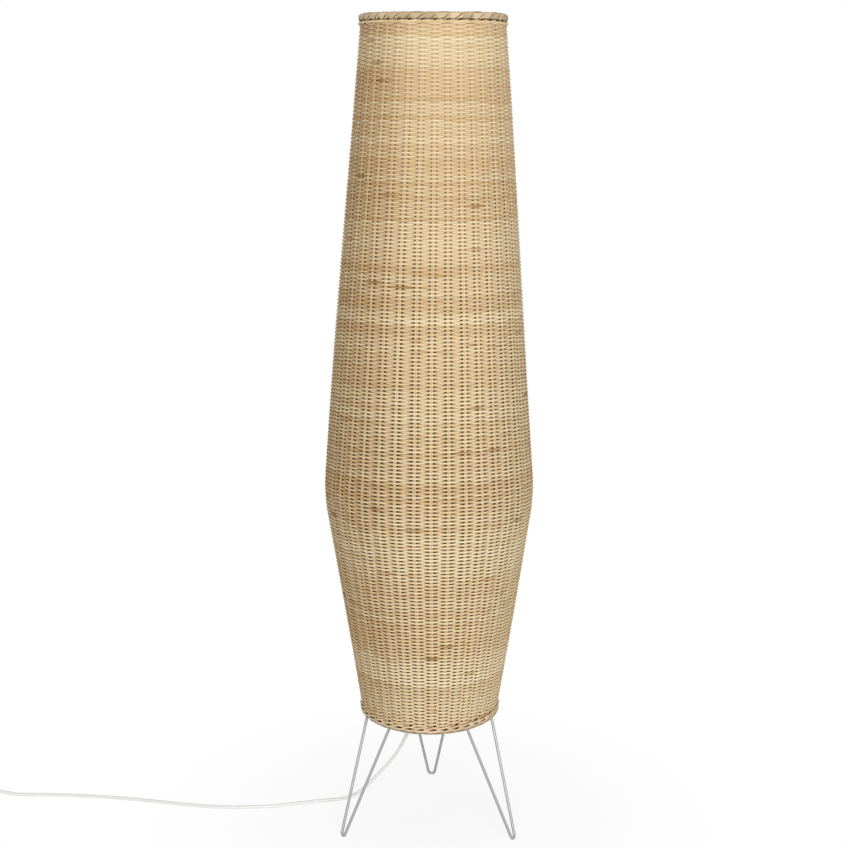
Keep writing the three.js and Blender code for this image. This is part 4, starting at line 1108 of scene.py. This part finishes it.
# The way of a pair of stake ends through a border. Columns: pairs passed, outward and upward place as shares
# of the border's half width and half height, thickness and breadth as shares of its half height, and how
# much painted shade the stakes get there.
TOP_PATH_SHARES = [
    (-1.1, -0.2, -1.4, 0.3, 0.6, 0.9), (-0.6, -0.1, -1.1, 0.28, 0.66, 0.8),
    (-0.25, 0.1, -0.8, 0.26, 0.7, 0.6), (0.0, 0.42, -0.42, 0.24, 0.74, 0.35),
    (0.25, 0.64, -0.22, 0.24, 0.82, 0.1), (0.5, 0.7, -0.16, 0.24, 0.86, 0),
    (0.9, 0.71, -0.1, 0.24, 0.82, 0), (1.08, 0.64, 0.16, 0.24, 0.66, 0),
    (1.22, 0.42, 0.52, 0.24, 0.54, 0), (1.45, 0.0, 0.74, 0.24, 0.5, 0),
    (1.9, -0.25, 0.7, 0.24, 0.5, 0), (2.3, -0.52, 0.4, 0.24, 0.5, 0),
    (2.7, -0.64, -0.1, 0.24, 0.5, 0.2), (3.1, -0.5, -0.6, 0.22, 0.44, 0.8),
    (3.4, -0.35, -0.9, 0.22, 0.4, 1),
]
BOTTOM_PATH_SHARES = [
    (1.3, -0.25, 2.3, 0.26, 0.7, 1), (0.9, -0.2, 1.9, 0.26, 0.72, 1), (0.5, -0.05, 1.4, 0.26, 0.7, 1),
    (0.2, 0.25, 1.1, 0.26, 0.62, 1), (0.0, 0.48, 0.94, 0.26, 0.58, 0.7),
    (-0.25, 0.64, 0.78, 0.26, 0.44, 0.1), (-0.6, 0.72, 0.5, 0.26, 0.31, 0),
    (-1.2, 0.74, 0.16, 0.26, 0.31, 0), (-1.8, 0.68, -0.2, 0.26, 0.32, 0.12),
    (-2.2, 0.5, -0.48, 0.26, 0.34, 0.2), (-2.6, 0.15, -0.72, 0.26, 0.4, 0.2),
    (-3.0, -0.25, -0.68, 0.26, 0.44, 0.2), (-3.4, -0.58, -0.3, 0.26, 0.44, 0.2),
    (-3.8, -0.62, 0.2, 0.26, 0.42, 0.3), (-4.2, -0.5, 0.7, 0.26, 0.4, 0.8),
]


class LAMP_OT_top_edge(bpy.types.Operator):
    """The twisted band and the rolled border at the top"""

    bl_idname = "rattan_lamp.top_edge"
    bl_label = "Top edge"

    tone = 0.82
    # Below this height share of the roll its tone is darkened, as painted shade on its underside
    grey_below = -0.25

    def execute(self, context):
        settings = context.scene.lamp_shade
        rng = np.random.default_rng(settings.seed + 3)
        weave_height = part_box("top_band")[0].z
        add_twisted_band(settings, rng, "top", weave_height, settings.top_band_width)
        radius = float(stake_line_radius(settings, weave_height))
        add_rolled_border(settings, rng, "top", radius, settings.top_border_width, TOP_PATH_SHARES,
                          self.tone, self.grey_below)
        return {"FINISHED"}


class LAMP_OT_bottom_edge(bpy.types.Operator):
    """The twisted band and the border of turned-in stake ends at the bottom"""

    bl_idname = "rattan_lamp.bottom_edge"
    bl_label = "Bottom edge"

    tone = 0.9
    # Below this height share of the roll its tone is darkened, as painted shade on its underside
    grey_below = 0.3

    def execute(self, context):
        settings = context.scene.lamp_shade
        rng = np.random.default_rng(settings.seed + 4)
        width = settings.bottom_border_width
        low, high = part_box("bottom_border")
        add_twisted_band(settings, rng, "bottom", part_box("bottom_band")[1].z, settings.bottom_band_width)
        add_rolled_border(settings, rng, "bottom", (high.x - low.x) / 2 - width / 2, width,
                          BOTTOM_PATH_SHARES, self.tone, self.grey_below)
        return {"FINISHED"}


def hairpin_line(settings):
    """The middle line of a leg that points along +X: down one wire, round the foot and up the other."""
    bend_steps, wire_points, gap_share = 28, 12, 0.02
    aside_axis = Vector((0, 1, 0))
    foot = Vector((settings.foot_circle, 0, settings.wire_diameter / 2 - settings.foot_flat))
    along = settings.wire_top * math.cos(settings.splay)
    aside = settings.wire_top * math.sin(settings.splay)
    up = (Vector((along, 0, settings.ring_height)) - foot).normalized()
    centre = foot + up * settings.foot_bend
    rise = (Vector((along, 0, settings.ring_height)) - centre).length
    start = math.atan2(rise, aside) - math.acos(settings.foot_bend / math.hypot(aside, rise))
    bend = []
    for step in range(bend_steps + 1):
        angle = start - (math.pi + 2 * start) * step / bend_steps
        bend.append(centre + aside_axis * settings.foot_bend * math.cos(angle)
                    + up * settings.foot_bend * math.sin(angle))
    wire = centre + aside_axis * aside + up * rise - bend[0]
    first = bend[0] + wire * (1 + settings.wire_rise / wire.z)
    last = Vector((first.x, -first.y, first.z))
    near = [first.lerp(bend[0], share) for share in np.linspace(0, 1 - gap_share, wire_points)]
    far = [bend[-1].lerp(last, share) for share in np.linspace(gap_share, 1, wire_points)]
    return np.array([*near, *bend, *far])


class LAMP_OT_legs(bpy.types.Operator):
    """Three hairpin legs of powder-coated wire, each with the weld beads that hold it to the ring"""

    bl_idname = "rattan_lamp.legs"
    bl_label = "Legs"

    angles = {"leg_back": 90, "leg_front_left": 210, "leg_front_right": 330}

    def execute(self, context):
        settings = context.scene.lamp_base
        in_bend = 14
        line = hairpin_line(settings)
        plane = Vector(line[0] - line[in_bend]).cross(Vector(ALONG_Y)).normalized()
        for node, degrees in self.angles.items():
            parts = Parts()
            parts.sweep(line, circle(settings.wire_diameter / 2, WIRE_SIDES), np.array(plane))
            for side in (-1, 1):
                self.add_weld(settings, parts, line, side)
            mesh = parts.mesh(f"{node}_wire", crease=50)
            mesh.transform(Matrix.Rotation(math.radians(degrees), 4, "Z"))
            for vertex in mesh.vertices:
                vertex.co.z = max(vertex.co.z, 0)
            placed(mesh, powder_coated_steel, "stand", "satin_wire", node)
        return {"FINISHED"}

    def add_weld(self, settings, parts, line, side):
        """A lumpy bead in the corner between a wire's top and the ring."""
        breadth_share, flattening = 0.62, 0.62
        lump_share, lump_count, lump_twist = 0.1, 3, 900
        end, before = Vector(line[0]), Vector(line[1])
        touch = end.lerp(before, settings.wire_rise / (end.z - before.z))
        touch.y *= side
        outward = Vector((touch.x, touch.y, 0)).normalized()
        touch -= outward * settings.wire_diameter / 2
        turn = Matrix.Translation(touch) @ outward.to_track_quat("Z", "X").to_matrix().to_4x4()
        breadth = settings.wire_diameter * breadth_share
        arc = np.linspace(-math.pi / 2, math.pi / 2, num=9)
        profile = np.stack([breadth * np.cos(arc), breadth * flattening * np.sin(arc)], 1)

        def lumps(radius, height, angle):
            return radius * lump_share * np.sin(lump_count * angle + lump_twist * height)

        parts.turned(profile, steps=WIRE_SIDES, ripple=lumps, matrix=turn)


class LAMP_OT_ring_and_bar(bpy.types.Operator):
    """The ring that the legs are welded to, and the bar across it with its raised bridge"""

    bl_idname = "rattan_lamp.ring_and_bar"
    bl_label = "Ring and bar"

    ring_steps = 160

    def execute(self, context):
        settings = context.scene.lamp_base
        low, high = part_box("base_ring")
        radius = (high.x - low.x - settings.wire_diameter) / 2
        angle = np.arange(self.ring_steps) / self.ring_steps * FULL_TURN
        line = ring_line(radius, angle, np.full(self.ring_steps, settings.ring_height))
        mesh = swept_mesh("ring_wire", line, circle(settings.wire_diameter / 2, WIRE_SIDES), closed=True)
        placed(mesh, powder_coated_steel, "stand", "satin_wire", "base_ring")
        self.add_bar()
        return {"FINISHED"}

    def add_bar(self):
        """A flat strip along Y with rounded bends up to its bridge and down again."""
        thick, edge = 2.5 * MM, 0.7 * MM
        half_bridge, bend, bend_points = 28 * MM, 5 * MM, 9
        low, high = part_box("cross_bar")
        bottom, top = low.z + thick / 2, high.z - thick / 2
        corners = [(low.y, bottom), (-half_bridge, bottom), (-half_bridge, top), (half_bridge, top),
                   (half_bridge, bottom), (high.y, bottom)]
        line = [corners[0]]
        for three in zip(corners, corners[1:], corners[2:]):
            before, corner, after = (Vector(point) for point in three)
            start = corner - (corner - before).normalized() * bend
            end = corner + (after - corner).normalized() * bend
            for quarter in np.linspace(0, 1, bend_points) * math.pi / 2:
                line.append(corner + (start - corner) * (1 - math.sin(quarter))
                            + (end - corner) * (1 - math.cos(quarter)))
        line.append(corners[-1])
        points = np.array([(0, along, height) for along, height in line])
        section = rounded_box(thick, high.x - low.x, edge)
        mesh = swept_mesh("bar_strip", points, section, ALONG_X, crease=40)
        placed(mesh, powder_coated_steel, "stand", "satin_wire", "cross_bar")


def boot_grooves(share, count, depth, squareness, plain_from, start=0):
    """How deep the rings that let a boot bend are cut, by the share of its length up to where it's plain."""
    rings = np.clip(np.sin(share * count * FULL_TURN - start), 0, 1)
    return depth * rings ** squareness * (share < plain_from)


def upright(node):
    """Foot, head and outside radius of a CAD node that stands on the lamp's axis."""
    low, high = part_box(node)
    return low.z, high.z, (high.x - low.x) / 2


class LAMP_OT_fixings(bpy.types.Operator):
    """The threaded nipple, its two nuts and the cord grip"""

    bl_idname = "rattan_lamp.fixings"
    bl_label = "Fixings"

    def execute(self, context):
        self.add_nipple()
        for node in ("nut_below_bar", "nut_above_bar"):
            self.add_nut(node)
        self.add_grip()
        return {"FINISHED"}

    def add_nipple(self):
        bore, pitch, depth, height_step = 3.5 * MM, 1.0 * MM, 0.45 * MM, 0.2 * MM
        foot, head, outside = upright("threaded_nipple")
        profile = [(bore, foot), *[(outside, height) for height in np.arange(foot, head, height_step)],
                   (outside, head), (bore, head)]

        def thread(radius, height, angle):
            groove = -depth * np.abs(((height / pitch - angle / FULL_TURN) % 1) * 2 - 1)
            return np.where(radius > bore, groove, 0)

        mesh = turned_mesh("nipple", profile, crease=60, steps=40, ripple=thread, close=True)
        placed(mesh, zinc_plated_steel, "stand", "zinc_steel", "threaded_nipple")

    def add_nut(self, node):
        across, chamfer, in_face = 14 * MM, 0.7 * MM, 0.01 * MM
        foot, head, _ = upright(node)
        corner = across / math.sqrt(3)
        profile = [(NIPPLE_HOLE, foot), (corner, foot), (corner, foot + chamfer), (corner, head - chamfer),
                   (corner, head), (NIPPLE_HOLE, head)]

        def hexagon(radius, height, angle):
            flat = across / 2 / np.cos((angle + math.pi / 6) % (math.pi / 3) - math.pi / 6)
            at_face = (height < foot + in_face) | (height > head - in_face)
            edge = corner - np.where(at_face, chamfer, 0)
            return np.where(radius > NIPPLE_HOLE, np.minimum(flat, edge) - radius, 0)

        mesh = turned_mesh(f"{node}_hexagon", profile, crease=25, steps=96, ripple=hexagon, close=True)
        placed(mesh, zinc_plated_steel, "stand", "zinc_steel", node)

    def add_grip(self):
        """A ringed boot round the cord, open at the top for the nipple."""
        end, bore, body_below = 4.4 * MM, 3.15 * MM, 8.5 * MM
        socket_depth, bore_depth = 6 * MM, 6.3 * MM
        mouth_width, mouth_height, edge = 0.3 * MM, 0.4 * MM, 0.6 * MM
        foot, head, top = upright("cord_grip")
        heights = np.linspace(foot, head - body_below, num=60)
        share = (heights - foot) / (head - body_below - foot)
        grooves = boot_grooves(share, count=5, depth=0.45 * MM, squareness=0.5, plain_from=0.92)
        profile = [(bore, foot + mouth_height), (bore + mouth_width, foot),
                   *zip(end + (top - end) * share ** 2 - grooves, heights), (top, head - edge),
                   (top - edge, head), (NIPPLE_HOLE, head), (NIPPLE_HOLE, head - socket_depth),
                   (bore, head - bore_depth)]
        mesh = turned_mesh("cord_grip_boot", profile, crease=40, close=True)
        placed(mesh, moulded_abs, "stand", "white_plastic", "cord_grip")


def lamp_thread(height, angle):
    """The lamp's round thread, from 0 on its crests to 1 in its grooves."""
    return np.sin(((height / LAMP_THREAD_PITCH - angle / FULL_TURN) % 1) * math.pi) ** 2


class LAMP_OT_lamp_holder(bpy.types.Operator):
    """The moulded lamp holder: a domed cap, a ribbed shell, and the contacts inside"""

    bl_idname = "rattan_lamp.lamp_holder"
    bl_label = "Lamp holder"

    def execute(self, context):
        self.add_cap()
        self.add_shell()
        dress(pressed_steatite, "ceramic", "contact_block")
        dress(rolled_brass, "brass", "centre_contact", "side_contact", "terminal_screw_1", "terminal_screw_2")
        dress(extruded_pvc, "white_cord", "inner_lead")
        return {"FINISHED"}

    def add_cap(self):
        """A dome round a flat hub, open at its rim."""
        hub, wall, rim, edge = 10 * MM, 2.4 * MM, 3 * MM, 0.4 * MM
        hub_edge, hub_wall, hub_inside = 1 * MM, 3 * MM, 5.4 * MM
        dome_share, inner_dome_share = 0.62, 0.6
        foot, head, radius = upright("holder_cap")
        tall = head - foot
        arc = np.linspace(0, math.pi / 2, num=14)
        dome = np.stack([hub + (radius - hub) * np.sin(arc),
                         foot + tall * dome_share * (1 - np.cos(arc))], 1)
        profile = [(NIPPLE_HOLE, foot), (hub - hub_edge, foot), *dome, (radius, head - rim),
                   (radius, head - edge), (radius - edge, head), (radius - wall, head),
                   (radius - wall, foot + tall * inner_dome_share), (hub, foot + hub_inside),
                   (NIPPLE_HOLE, foot + hub_wall)]
        mesh = turned_mesh("holder_dome", profile, crease=35, close=True)
        placed(mesh, moulded_abs, "stand", "white_plastic", "holder_cap")

    def add_shell(self):
        """A sleeve with ribs to turn it by. Its mouth is narrower and has the bulb's thread."""
        mouth, inner, lip = 14.4 * MM, 15.3 * MM, 17.4 * MM
        rib_count, rib_depth, rib_fade, squareness, steps_per_rib = 32, 0.7 * MM, 1.5 * MM, 1.6, 6
        thread_depth, thread_top, thread_foot, thread_step = 0.5 * MM, 2 * MM, 11 * MM, 0.6 * MM
        outer_skin, mouth_skin = 0.1 * MM, 0.05 * MM
        foot, head, radius = upright("holder_shell")
        grip_low, grip_high = foot + 4 * MM, head - 8 * MM
        grip_heights = np.linspace(grip_low, grip_high, num=14)
        thread_heights = np.arange(head - thread_top, foot + thread_foot, -thread_step)
        profile = [
            (inner, foot), (radius - 0.9 * MM, foot), (radius - 0.5 * MM, foot + 0.4 * MM),
            (radius - 0.5 * MM, grip_low - 1 * MM), *[(radius, height) for height in grip_heights],
            (lip + 0.8 * MM, head - 5 * MM), (lip + 0.5 * MM, head - 1 * MM), (lip, head - 0.3 * MM),
            (lip - 0.5 * MM, head), (mouth + 0.4 * MM, head), (mouth, head - 0.4 * MM),
            *[(mouth, height) for height in thread_heights], (inner, foot + 8 * MM)]

        def ribs_and_thread(radii, height, angle):
            within = smoothed((height - grip_low) / rib_fade) * smoothed((grip_high - height) / rib_fade)
            wave = np.clip(np.cos(angle * rib_count) * squareness, -1, 1) / 2 - 0.5
            ribs = np.where(radii > radius - outer_skin, wave * rib_depth * within, 0)
            threaded = (np.abs(radii - mouth) < mouth_skin) & (height < head - thread_top)
            return ribs + np.where(threaded, thread_depth * lamp_thread(height, angle), 0)

        mesh = turned_mesh("holder_ribbed_shell", profile, crease=45, steps=rib_count * steps_per_rib,
                           ripple=ribs_and_thread, close=True)
        placed(mesh, moulded_abs, "stand", "white_plastic", "holder_shell")


class LAMP_OT_bulb(bpy.types.Operator):
    """An opal bulb with its threaded cap, black glass and tip"""

    bl_idname = "rattan_lamp.bulb"
    bl_label = "Bulb"

    def execute(self, context):
        self.add_glass()
        self.add_cap()
        dress(black_vitrite, "black_glass", "bulb_insulator")
        dress(rolled_brass, "brass", "bulb_tip_contact")
        return {"FINISHED"}

    def add_glass(self):
        """A ball that draws in smoothly to its neck, from inside the neck over the top to outside it."""
        neck, wall, neck_steps, ball_from = 13.6 * MM, 1.2 * MM, 8, math.radians(-36)
        foot, head, radius = upright("bulb_glass")
        arc = np.linspace(ball_from, math.pi / 2, num=30)
        ball = np.stack([radius * np.cos(arc), head - radius + radius * np.sin(arc)], 1)
        throat = [(neck - 0.6 * MM, foot), (neck, foot + 2.4 * MM), (neck + 0.3 * MM, foot + 8 * MM),
                  (neck + 2.2 * MM, foot + 17 * MM)]
        smooth = curve_through([*throat, ball[0], ball[1]], neck_steps)[:-neck_steps - 1]
        inside = [(0.0, head - wall), *[(across - wall, height) for across, height in smooth[::-4]]]
        profile = np.vstack([inside, smooth, ball[:-1], [(0, head)]])
        mesh = turned_mesh("bulb_opal_globe", profile, crease=60)
        placed(mesh, opal_glass, "bulb", "opal_glass", "bulb_glass")

    def add_cap(self):
        """A thin cap with a rolled thread, drawn in at its foot."""
        depth, wall, edge, outer_skin = 0.8 * MM, 0.8 * MM, 0.3 * MM, 0.1 * MM
        thread_top, thread_step = 2.6 * MM, 0.3 * MM
        foot, head, radius = upright("bulb_screw_cap")
        thread_heights = np.arange(foot + 2.4 * MM, head - 3 * MM, thread_step)
        profile = [(radius - 3 * MM, foot), *[(radius, height) for height in thread_heights],
                   (radius, head - edge), (radius - edge, head), (radius - wall, head),
                   (radius - wall - 0.4 * MM, foot + 3 * MM), (radius - 3.8 * MM, foot + 0.2 * MM)]

        def thread(radii, height, angle):
            threaded = (radii > radius - outer_skin) & (height < head - thread_top)
            return np.where(threaded, -depth * lamp_thread(height, angle), 0)

        mesh = turned_mesh("bulb_threaded_cap", profile, crease=60, steps=72, ripple=thread, close=True)
        placed(mesh, zinc_plated_steel, "bulb", "zinc_steel", "bulb_screw_cap")


def pillow(parts, outline, levels):
    """A closed body from an outline repeated at [height, inset] levels. outline gives its points by inset."""
    rings = []
    for height, inset in levels:
        ring = outline(inset)
        rings.append(np.column_stack([ring, np.full(len(ring), height)]))
    points = np.vstack(rings)
    index = np.arange(len(points)).reshape(len(rings), -1)
    parts.add(points, ring_quads(index[:-1], index[1:]), (index[0][::-1], index[-1]))


def edge_levels(low, high, low_edge, high_edge, steps=5):
    """Levels of a body whose lower and upper edges are rounded by these radii."""
    quarter = np.linspace(0, math.pi / 2, steps + 1)
    bottom = [(low + low_edge * (1 - math.sin(a)), low_edge * (1 - math.cos(a))) for a in quarter[::-1]]
    top = [(high - high_edge * (1 - math.sin(a)), high_edge * (1 - math.cos(a))) for a in quarter]
    return bottom + top


def cut_away(piece, crease, *tools):
    """Cuts closed meshes out of a piece for good, and creases it anew where it turns by so many degrees."""
    name = piece.data.name
    for tool in tools:
        cutter = bpy.data.objects.new("cutter", tool)
        bpy.context.scene.collection.objects.link(cutter)
        trim = piece.modifiers.new("cut", "BOOLEAN")
        trim.object, trim.operation, trim.solver = cutter, "DIFFERENCE", "EXACT"
        graph = bpy.context.evaluated_depsgraph_get()
        fresh = bpy.data.meshes.new_from_object(piece.evaluated_get(graph))
        piece.modifiers.clear()
        piece.data = fresh
        bpy.data.objects.remove(cutter)
    piece.data.name = name
    piece.data.polygons.foreach_set("use_smooth", np.ones(len(piece.data.polygons), bool))
    piece.data.set_sharp_from_angle(angle=math.radians(crease))


def rocker_pivot():
    """Where the rocker tips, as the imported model's joint says."""
    return next(joint for joint in frame["joints"] if joint["child"] == "rocker")["pos_m"]


class LAMP_OT_switch(bpy.types.Operator):
    """The in-line switch: base, crowned cover, rocker, screws and the two boots"""

    bl_idname = "rattan_lamp.switch"
    bl_label = "Switch"

    # Degrees by which the rocker is tipped at rest, and at which the mouldings' edges are creased
    tilt = 12
    crease = 35

    def execute(self, context):
        self.add_shell("switch_base", "switch_lower_shell", low_edge=1.2 * MM, high_edge=0.3 * MM)
        self.add_shell("switch_cover", "switch_upper_shell", low_edge=0.3 * MM, high_edge=3.0 * MM)
        self.add_rocker()
        dress(zinc_plated_steel, "zinc_steel", "switch_screw_1", "switch_screw_2")
        add_boot("switch_relief_lamp_side", "switch_boot_lamp_side", 1)
        add_boot("switch_relief_plug_side", "switch_boot_plug_side", -1)
        return {"FINISHED"}

    def add_shell(self, node, name, low_edge, high_edge):
        """One half of the housing, with the rocker's room cut out of it."""
        corner, corner_steps = 9 * MM, 10
        low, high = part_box(node)
        base_low, base_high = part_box("switch_base")
        middle = middle_of("switch_base")
        length, width = base_high.x - base_low.x, base_high.y - base_low.y

        def outline(inset):
            made = rounded_box(length - 2 * inset, width - 2 * inset, corner - inset, corner_steps)
            return made + np.array([middle.x, middle.y])

        parts = Parts()
        pillow(parts, outline, edge_levels(low.z, high.z, low_edge, high_edge))
        piece = placed(parts.mesh(name, self.crease), moulded_abs, "stand", "white_plastic", node)
        cut_away(piece, self.crease, *self.room())

    def room(self):
        """The drum-shaped room round the rocker and the window over it."""
        radius, width, corner = 10.2 * MM, 11.2 * MM, 0.4 * MM
        x, y, z = rocker_pivot()
        line = [(x, y + side * width / 2, z) for side in (-1, 0, 1)]
        drum = swept_mesh("well", line, circle(radius, sides=48), crease=self.crease)
        line = [(x, y, z + rise) for rise in (0.0, 5 * MM, 20 * MM)]
        section = rounded_box(width, 2 * radius * math.cos(math.radians(self.tilt)), corner)
        return drum, swept_mesh("window", line, section, ALONG_X, crease=self.crease)

    def add_rocker(self):
        """A drum with a dished top and two stub pins, tipped as the switch lies at rest."""
        radius, width, rise, dip, soft = 9.6 * MM, 10 * MM, 5 * MM, 2.4 * MM, 0.5 * MM
        pin_radius, pin_length, dish_margin = 1.5 * MM, 1.6 * MM, 0.04
        edge = math.sqrt(radius ** 2 - rise ** 2)
        corner = math.atan2(rise, edge)
        dish = [(edge * (1 - 2 * share), dip + (rise - dip) * (2 * share - 1) ** 2)
                for share in np.linspace(dish_margin, 1 - dish_margin, num=14)]
        drum = [(radius * math.cos(angle), radius * math.sin(angle))
                for middle in (math.pi, 0)
                for angle in np.linspace(middle - corner, middle + corner, num=10)]
        outline = np.array([*dish, *drum])
        small = 1 - soft / radius
        line = [(0, along, 0) for along in (-width / 2, -width / 2 + soft, width / 2 - soft, width / 2)]
        parts = Parts()
        parts.sweep(line, outline * [-1, 1], UP, np.array([small, 1, 1, small]))
        pin_line = [(0, side * (width / 2 + pin_length), 0) for side in (-1, 0, 1)]
        parts.sweep(pin_line, circle(pin_radius, sides=20))
        mesh = parts.mesh("rocker_key", crease=30)
        tipped = Matrix.Rotation(math.radians(-self.tilt), 4, "Y")
        mesh.transform(Matrix.Translation(rocker_pivot()) @ tipped)
        placed(mesh, moulded_abs, "rocker", "white_plastic", "switch_rocker")


def add_boot(node, name, direction):
    """A tapered boot with rings that let it bend, along X. Its thick end faces against direction."""
    end, bore, edge, end_edge = 4 * MM, 3.05 * MM, 0.3 * MM, 0.5 * MM
    low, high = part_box(node)
    middle = middle_of(node)
    length, start = high.x - low.x, (high.y - low.y) / 2
    share = np.linspace(0, 1, num=60)
    grooves = boot_grooves(share, count=4, depth=0.5 * MM, squareness=0.6, plain_from=0.95, start=1)
    radius = start + (end - start) * share - grooves
    profile = [(bore, 0), (start - edge, 0), *zip(radius, edge + (length - edge - end_edge) * share),
               (end - end_edge, length), (bore, length)]
    turn = Matrix.Rotation(math.pi / 2 * direction, 4, "Y")
    origin = Matrix.Translation((middle.x - direction * length / 2, middle.y, middle.z))
    mesh = turned_mesh(name, profile, crease=40, steps=32, close=True, matrix=origin @ turn)
    placed(mesh, moulded_abs, "stand", "white_plastic", node)


class LAMP_OT_plug(bpy.types.Operator):
    """The flat two-pin plug with its boot"""

    bl_idname = "rattan_lamp.plug"
    bl_label = "Plug"

    def execute(self, context):
        self.add_body()
        for node in ("plug_pin_1", "plug_pin_2"):
            self.add_pin(node)
        add_boot("plug_relief", "plug_boot", -1)
        return {"FINISHED"}

    def add_body(self):
        """A flat body that narrows from its shoulders to the cord."""
        neck, shoulder, corner, edge = 7 * MM, 14 * MM, 2.0 * MM, 2.4 * MM
        low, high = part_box("plug_body")
        middle = middle_of("plug_body")
        length, half = high.x - low.x, (high.y - low.y) / 2

        def outline(inset):
            share = np.linspace(0, 1, num=16)
            across = neck + (half - neck) * smoothed(1 - share) - inset
            side = [*zip(-shoulder - (length - shoulder) * share, across)]
            side[-1] = (-length + inset, neck - inset)
            front = [(-corner * (1 - math.sin(angle)) - inset, half - inset - corner * (1 - math.cos(angle)))
                     for angle in np.linspace(math.pi / 2, 0, num=6)]
            upper = [*front, *side]
            lower = [(x, -y) for x, y in reversed(upper)]
            return np.array([*upper, *lower]) + np.array([high.x, middle.y])

        parts = Parts()
        pillow(parts, outline, edge_levels(low.z, high.z, edge, edge, steps=6))
        placed(parts.mesh("plug_shell", crease=50), moulded_abs, "stand", "white_plastic", "plug_body")

    def add_pin(self, node):
        """A round pin: bare metal at its end, in a tight white sleeve near the body."""
        core_share, inner_share, outer_share, sleeve_share = 0.94, 0.945, 0.99, 0.52
        start, slope = 0.05 * MM, 0.3 * MM
        low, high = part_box(node)
        middle = middle_of(node)
        length, radius = high.x - low.x, (high.y - low.y) / 2
        turn = Matrix.Translation((low.x, middle.y, middle.z)) @ Matrix.Rotation(math.pi / 2, 4, "Y")
        core, inner, outer = radius * core_share, radius * inner_share, radius * outer_share
        tip = [(core * math.cos(angle), length - core + core * math.sin(angle))
               for angle in np.linspace(0, math.pi / 2, num=8)]
        form = {"crease": 50, "steps": 28, "matrix": turn}
        metal = turned_mesh(f"{node}_metal", [(0, 0), (core, 0), *tip], **form)
        placed(metal, zinc_plated_steel, "stand", "zinc_steel", node)
        end = length * sleeve_share
        profile = [(inner, start), (outer, start), (outer, end - slope), (inner, end)]
        sleeve = turned_mesh(f"{node}_sleeve", profile, close=True, **form)
        placed(sleeve, moulded_abs, "stand", "white_plastic", node)


class LAMP_OT_coil_tie(bpy.types.Operator):
    """The strap that holds the coil's turns together"""

    bl_idname = "rattan_lamp.coil_tie"
    bl_label = "Coil tie"

    def execute(self, context):
        thick, edge, corner, corner_steps = 1.2 * MM, 0.4 * MM, 2.4 * MM, 7
        low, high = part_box("coil_tie")
        middle = middle_of("coil_tie")
        loop = rounded_box(high.x - low.x - thick, high.z - low.z - thick, corner, corner_steps)
        line = np.stack([middle.x + loop[:, 0], np.full(len(loop), middle.y), middle.z + loop[:, 1]], 1)
        section = rounded_box(thick, high.y - low.y, edge)
        mesh = swept_mesh("coil_strap", line, section, ALONG_Y, closed=True, crease=40)
        placed(mesh, moulded_abs, "stand", "white_plastic", "coil_tie")
        return {"FINISHED"}


class LAMP_OT_declare_cord(bpy.types.Operator):
    """Does nothing: it makes no piece and states nothing about the cord"""

    bl_idname = "rattan_lamp.declare_cord"
    bl_label = "Declare cord"

    def execute(self, context):
        return {"FINISHED"}


OPERATORS = (
    LAMP_OT_stage, LAMP_OT_cord, LAMP_OT_legs, LAMP_OT_ring_and_bar, LAMP_OT_fixings, LAMP_OT_lamp_holder,
    LAMP_OT_bulb, LAMP_OT_weave, LAMP_OT_stakes, LAMP_OT_top_edge, LAMP_OT_bottom_edge, LAMP_OT_switch,
    LAMP_OT_plug, LAMP_OT_coil_tie, LAMP_OT_declare_cord,
)
SETTINGS = {
    "lamp_shade": ShadeSettings,
    "lamp_base": BaseSettings,
    "lamp_cord": CordSettings,
    "lamp_stage": StageSettings,
}


class LAMP_PT_panel(bpy.types.Panel):
    """Lists the lamp's pieces and settings"""

    bl_idname = "LAMP_PT_panel"
    bl_label = "Rattan floor lamp"
    bl_space_type = "VIEW_3D"
    bl_region_type = "UI"
    bl_category = "Rattan lamp"

    def draw(self, context):
        for operator in OPERATORS:
            self.layout.operator(operator.bl_idname, text=operator.bl_label)
        for group in SETTINGS:
            settings = getattr(context.scene, group)
            column = self.layout.column()
            for name in settings.__annotations__:
                column.prop(settings, name)


def register():
    for group in SETTINGS.values():
        bpy.utils.register_class(group)
    for name, group in SETTINGS.items():
        setattr(bpy.types.Scene, name, PointerProperty(type=group))
    for operator in OPERATORS:
        bpy.utils.register_class(operator)
    bpy.utils.register_class(LAMP_PT_panel)


def unregister():
    bpy.utils.unregister_class(LAMP_PT_panel)
    for operator in reversed(OPERATORS):
        bpy.utils.unregister_class(operator)
    for name in SETTINGS:
        delattr(bpy.types.Scene, name)
    for group in reversed(SETTINGS.values()):
        bpy.utils.unregister_class(group)


def main():
    """Builds the lamp piece by piece."""
    register()
    for operator in OPERATORS:
        group, name = operator.bl_idname.split(".")
        getattr(getattr(bpy.ops, group), name)()


if __name__ == "__main__":
    main()
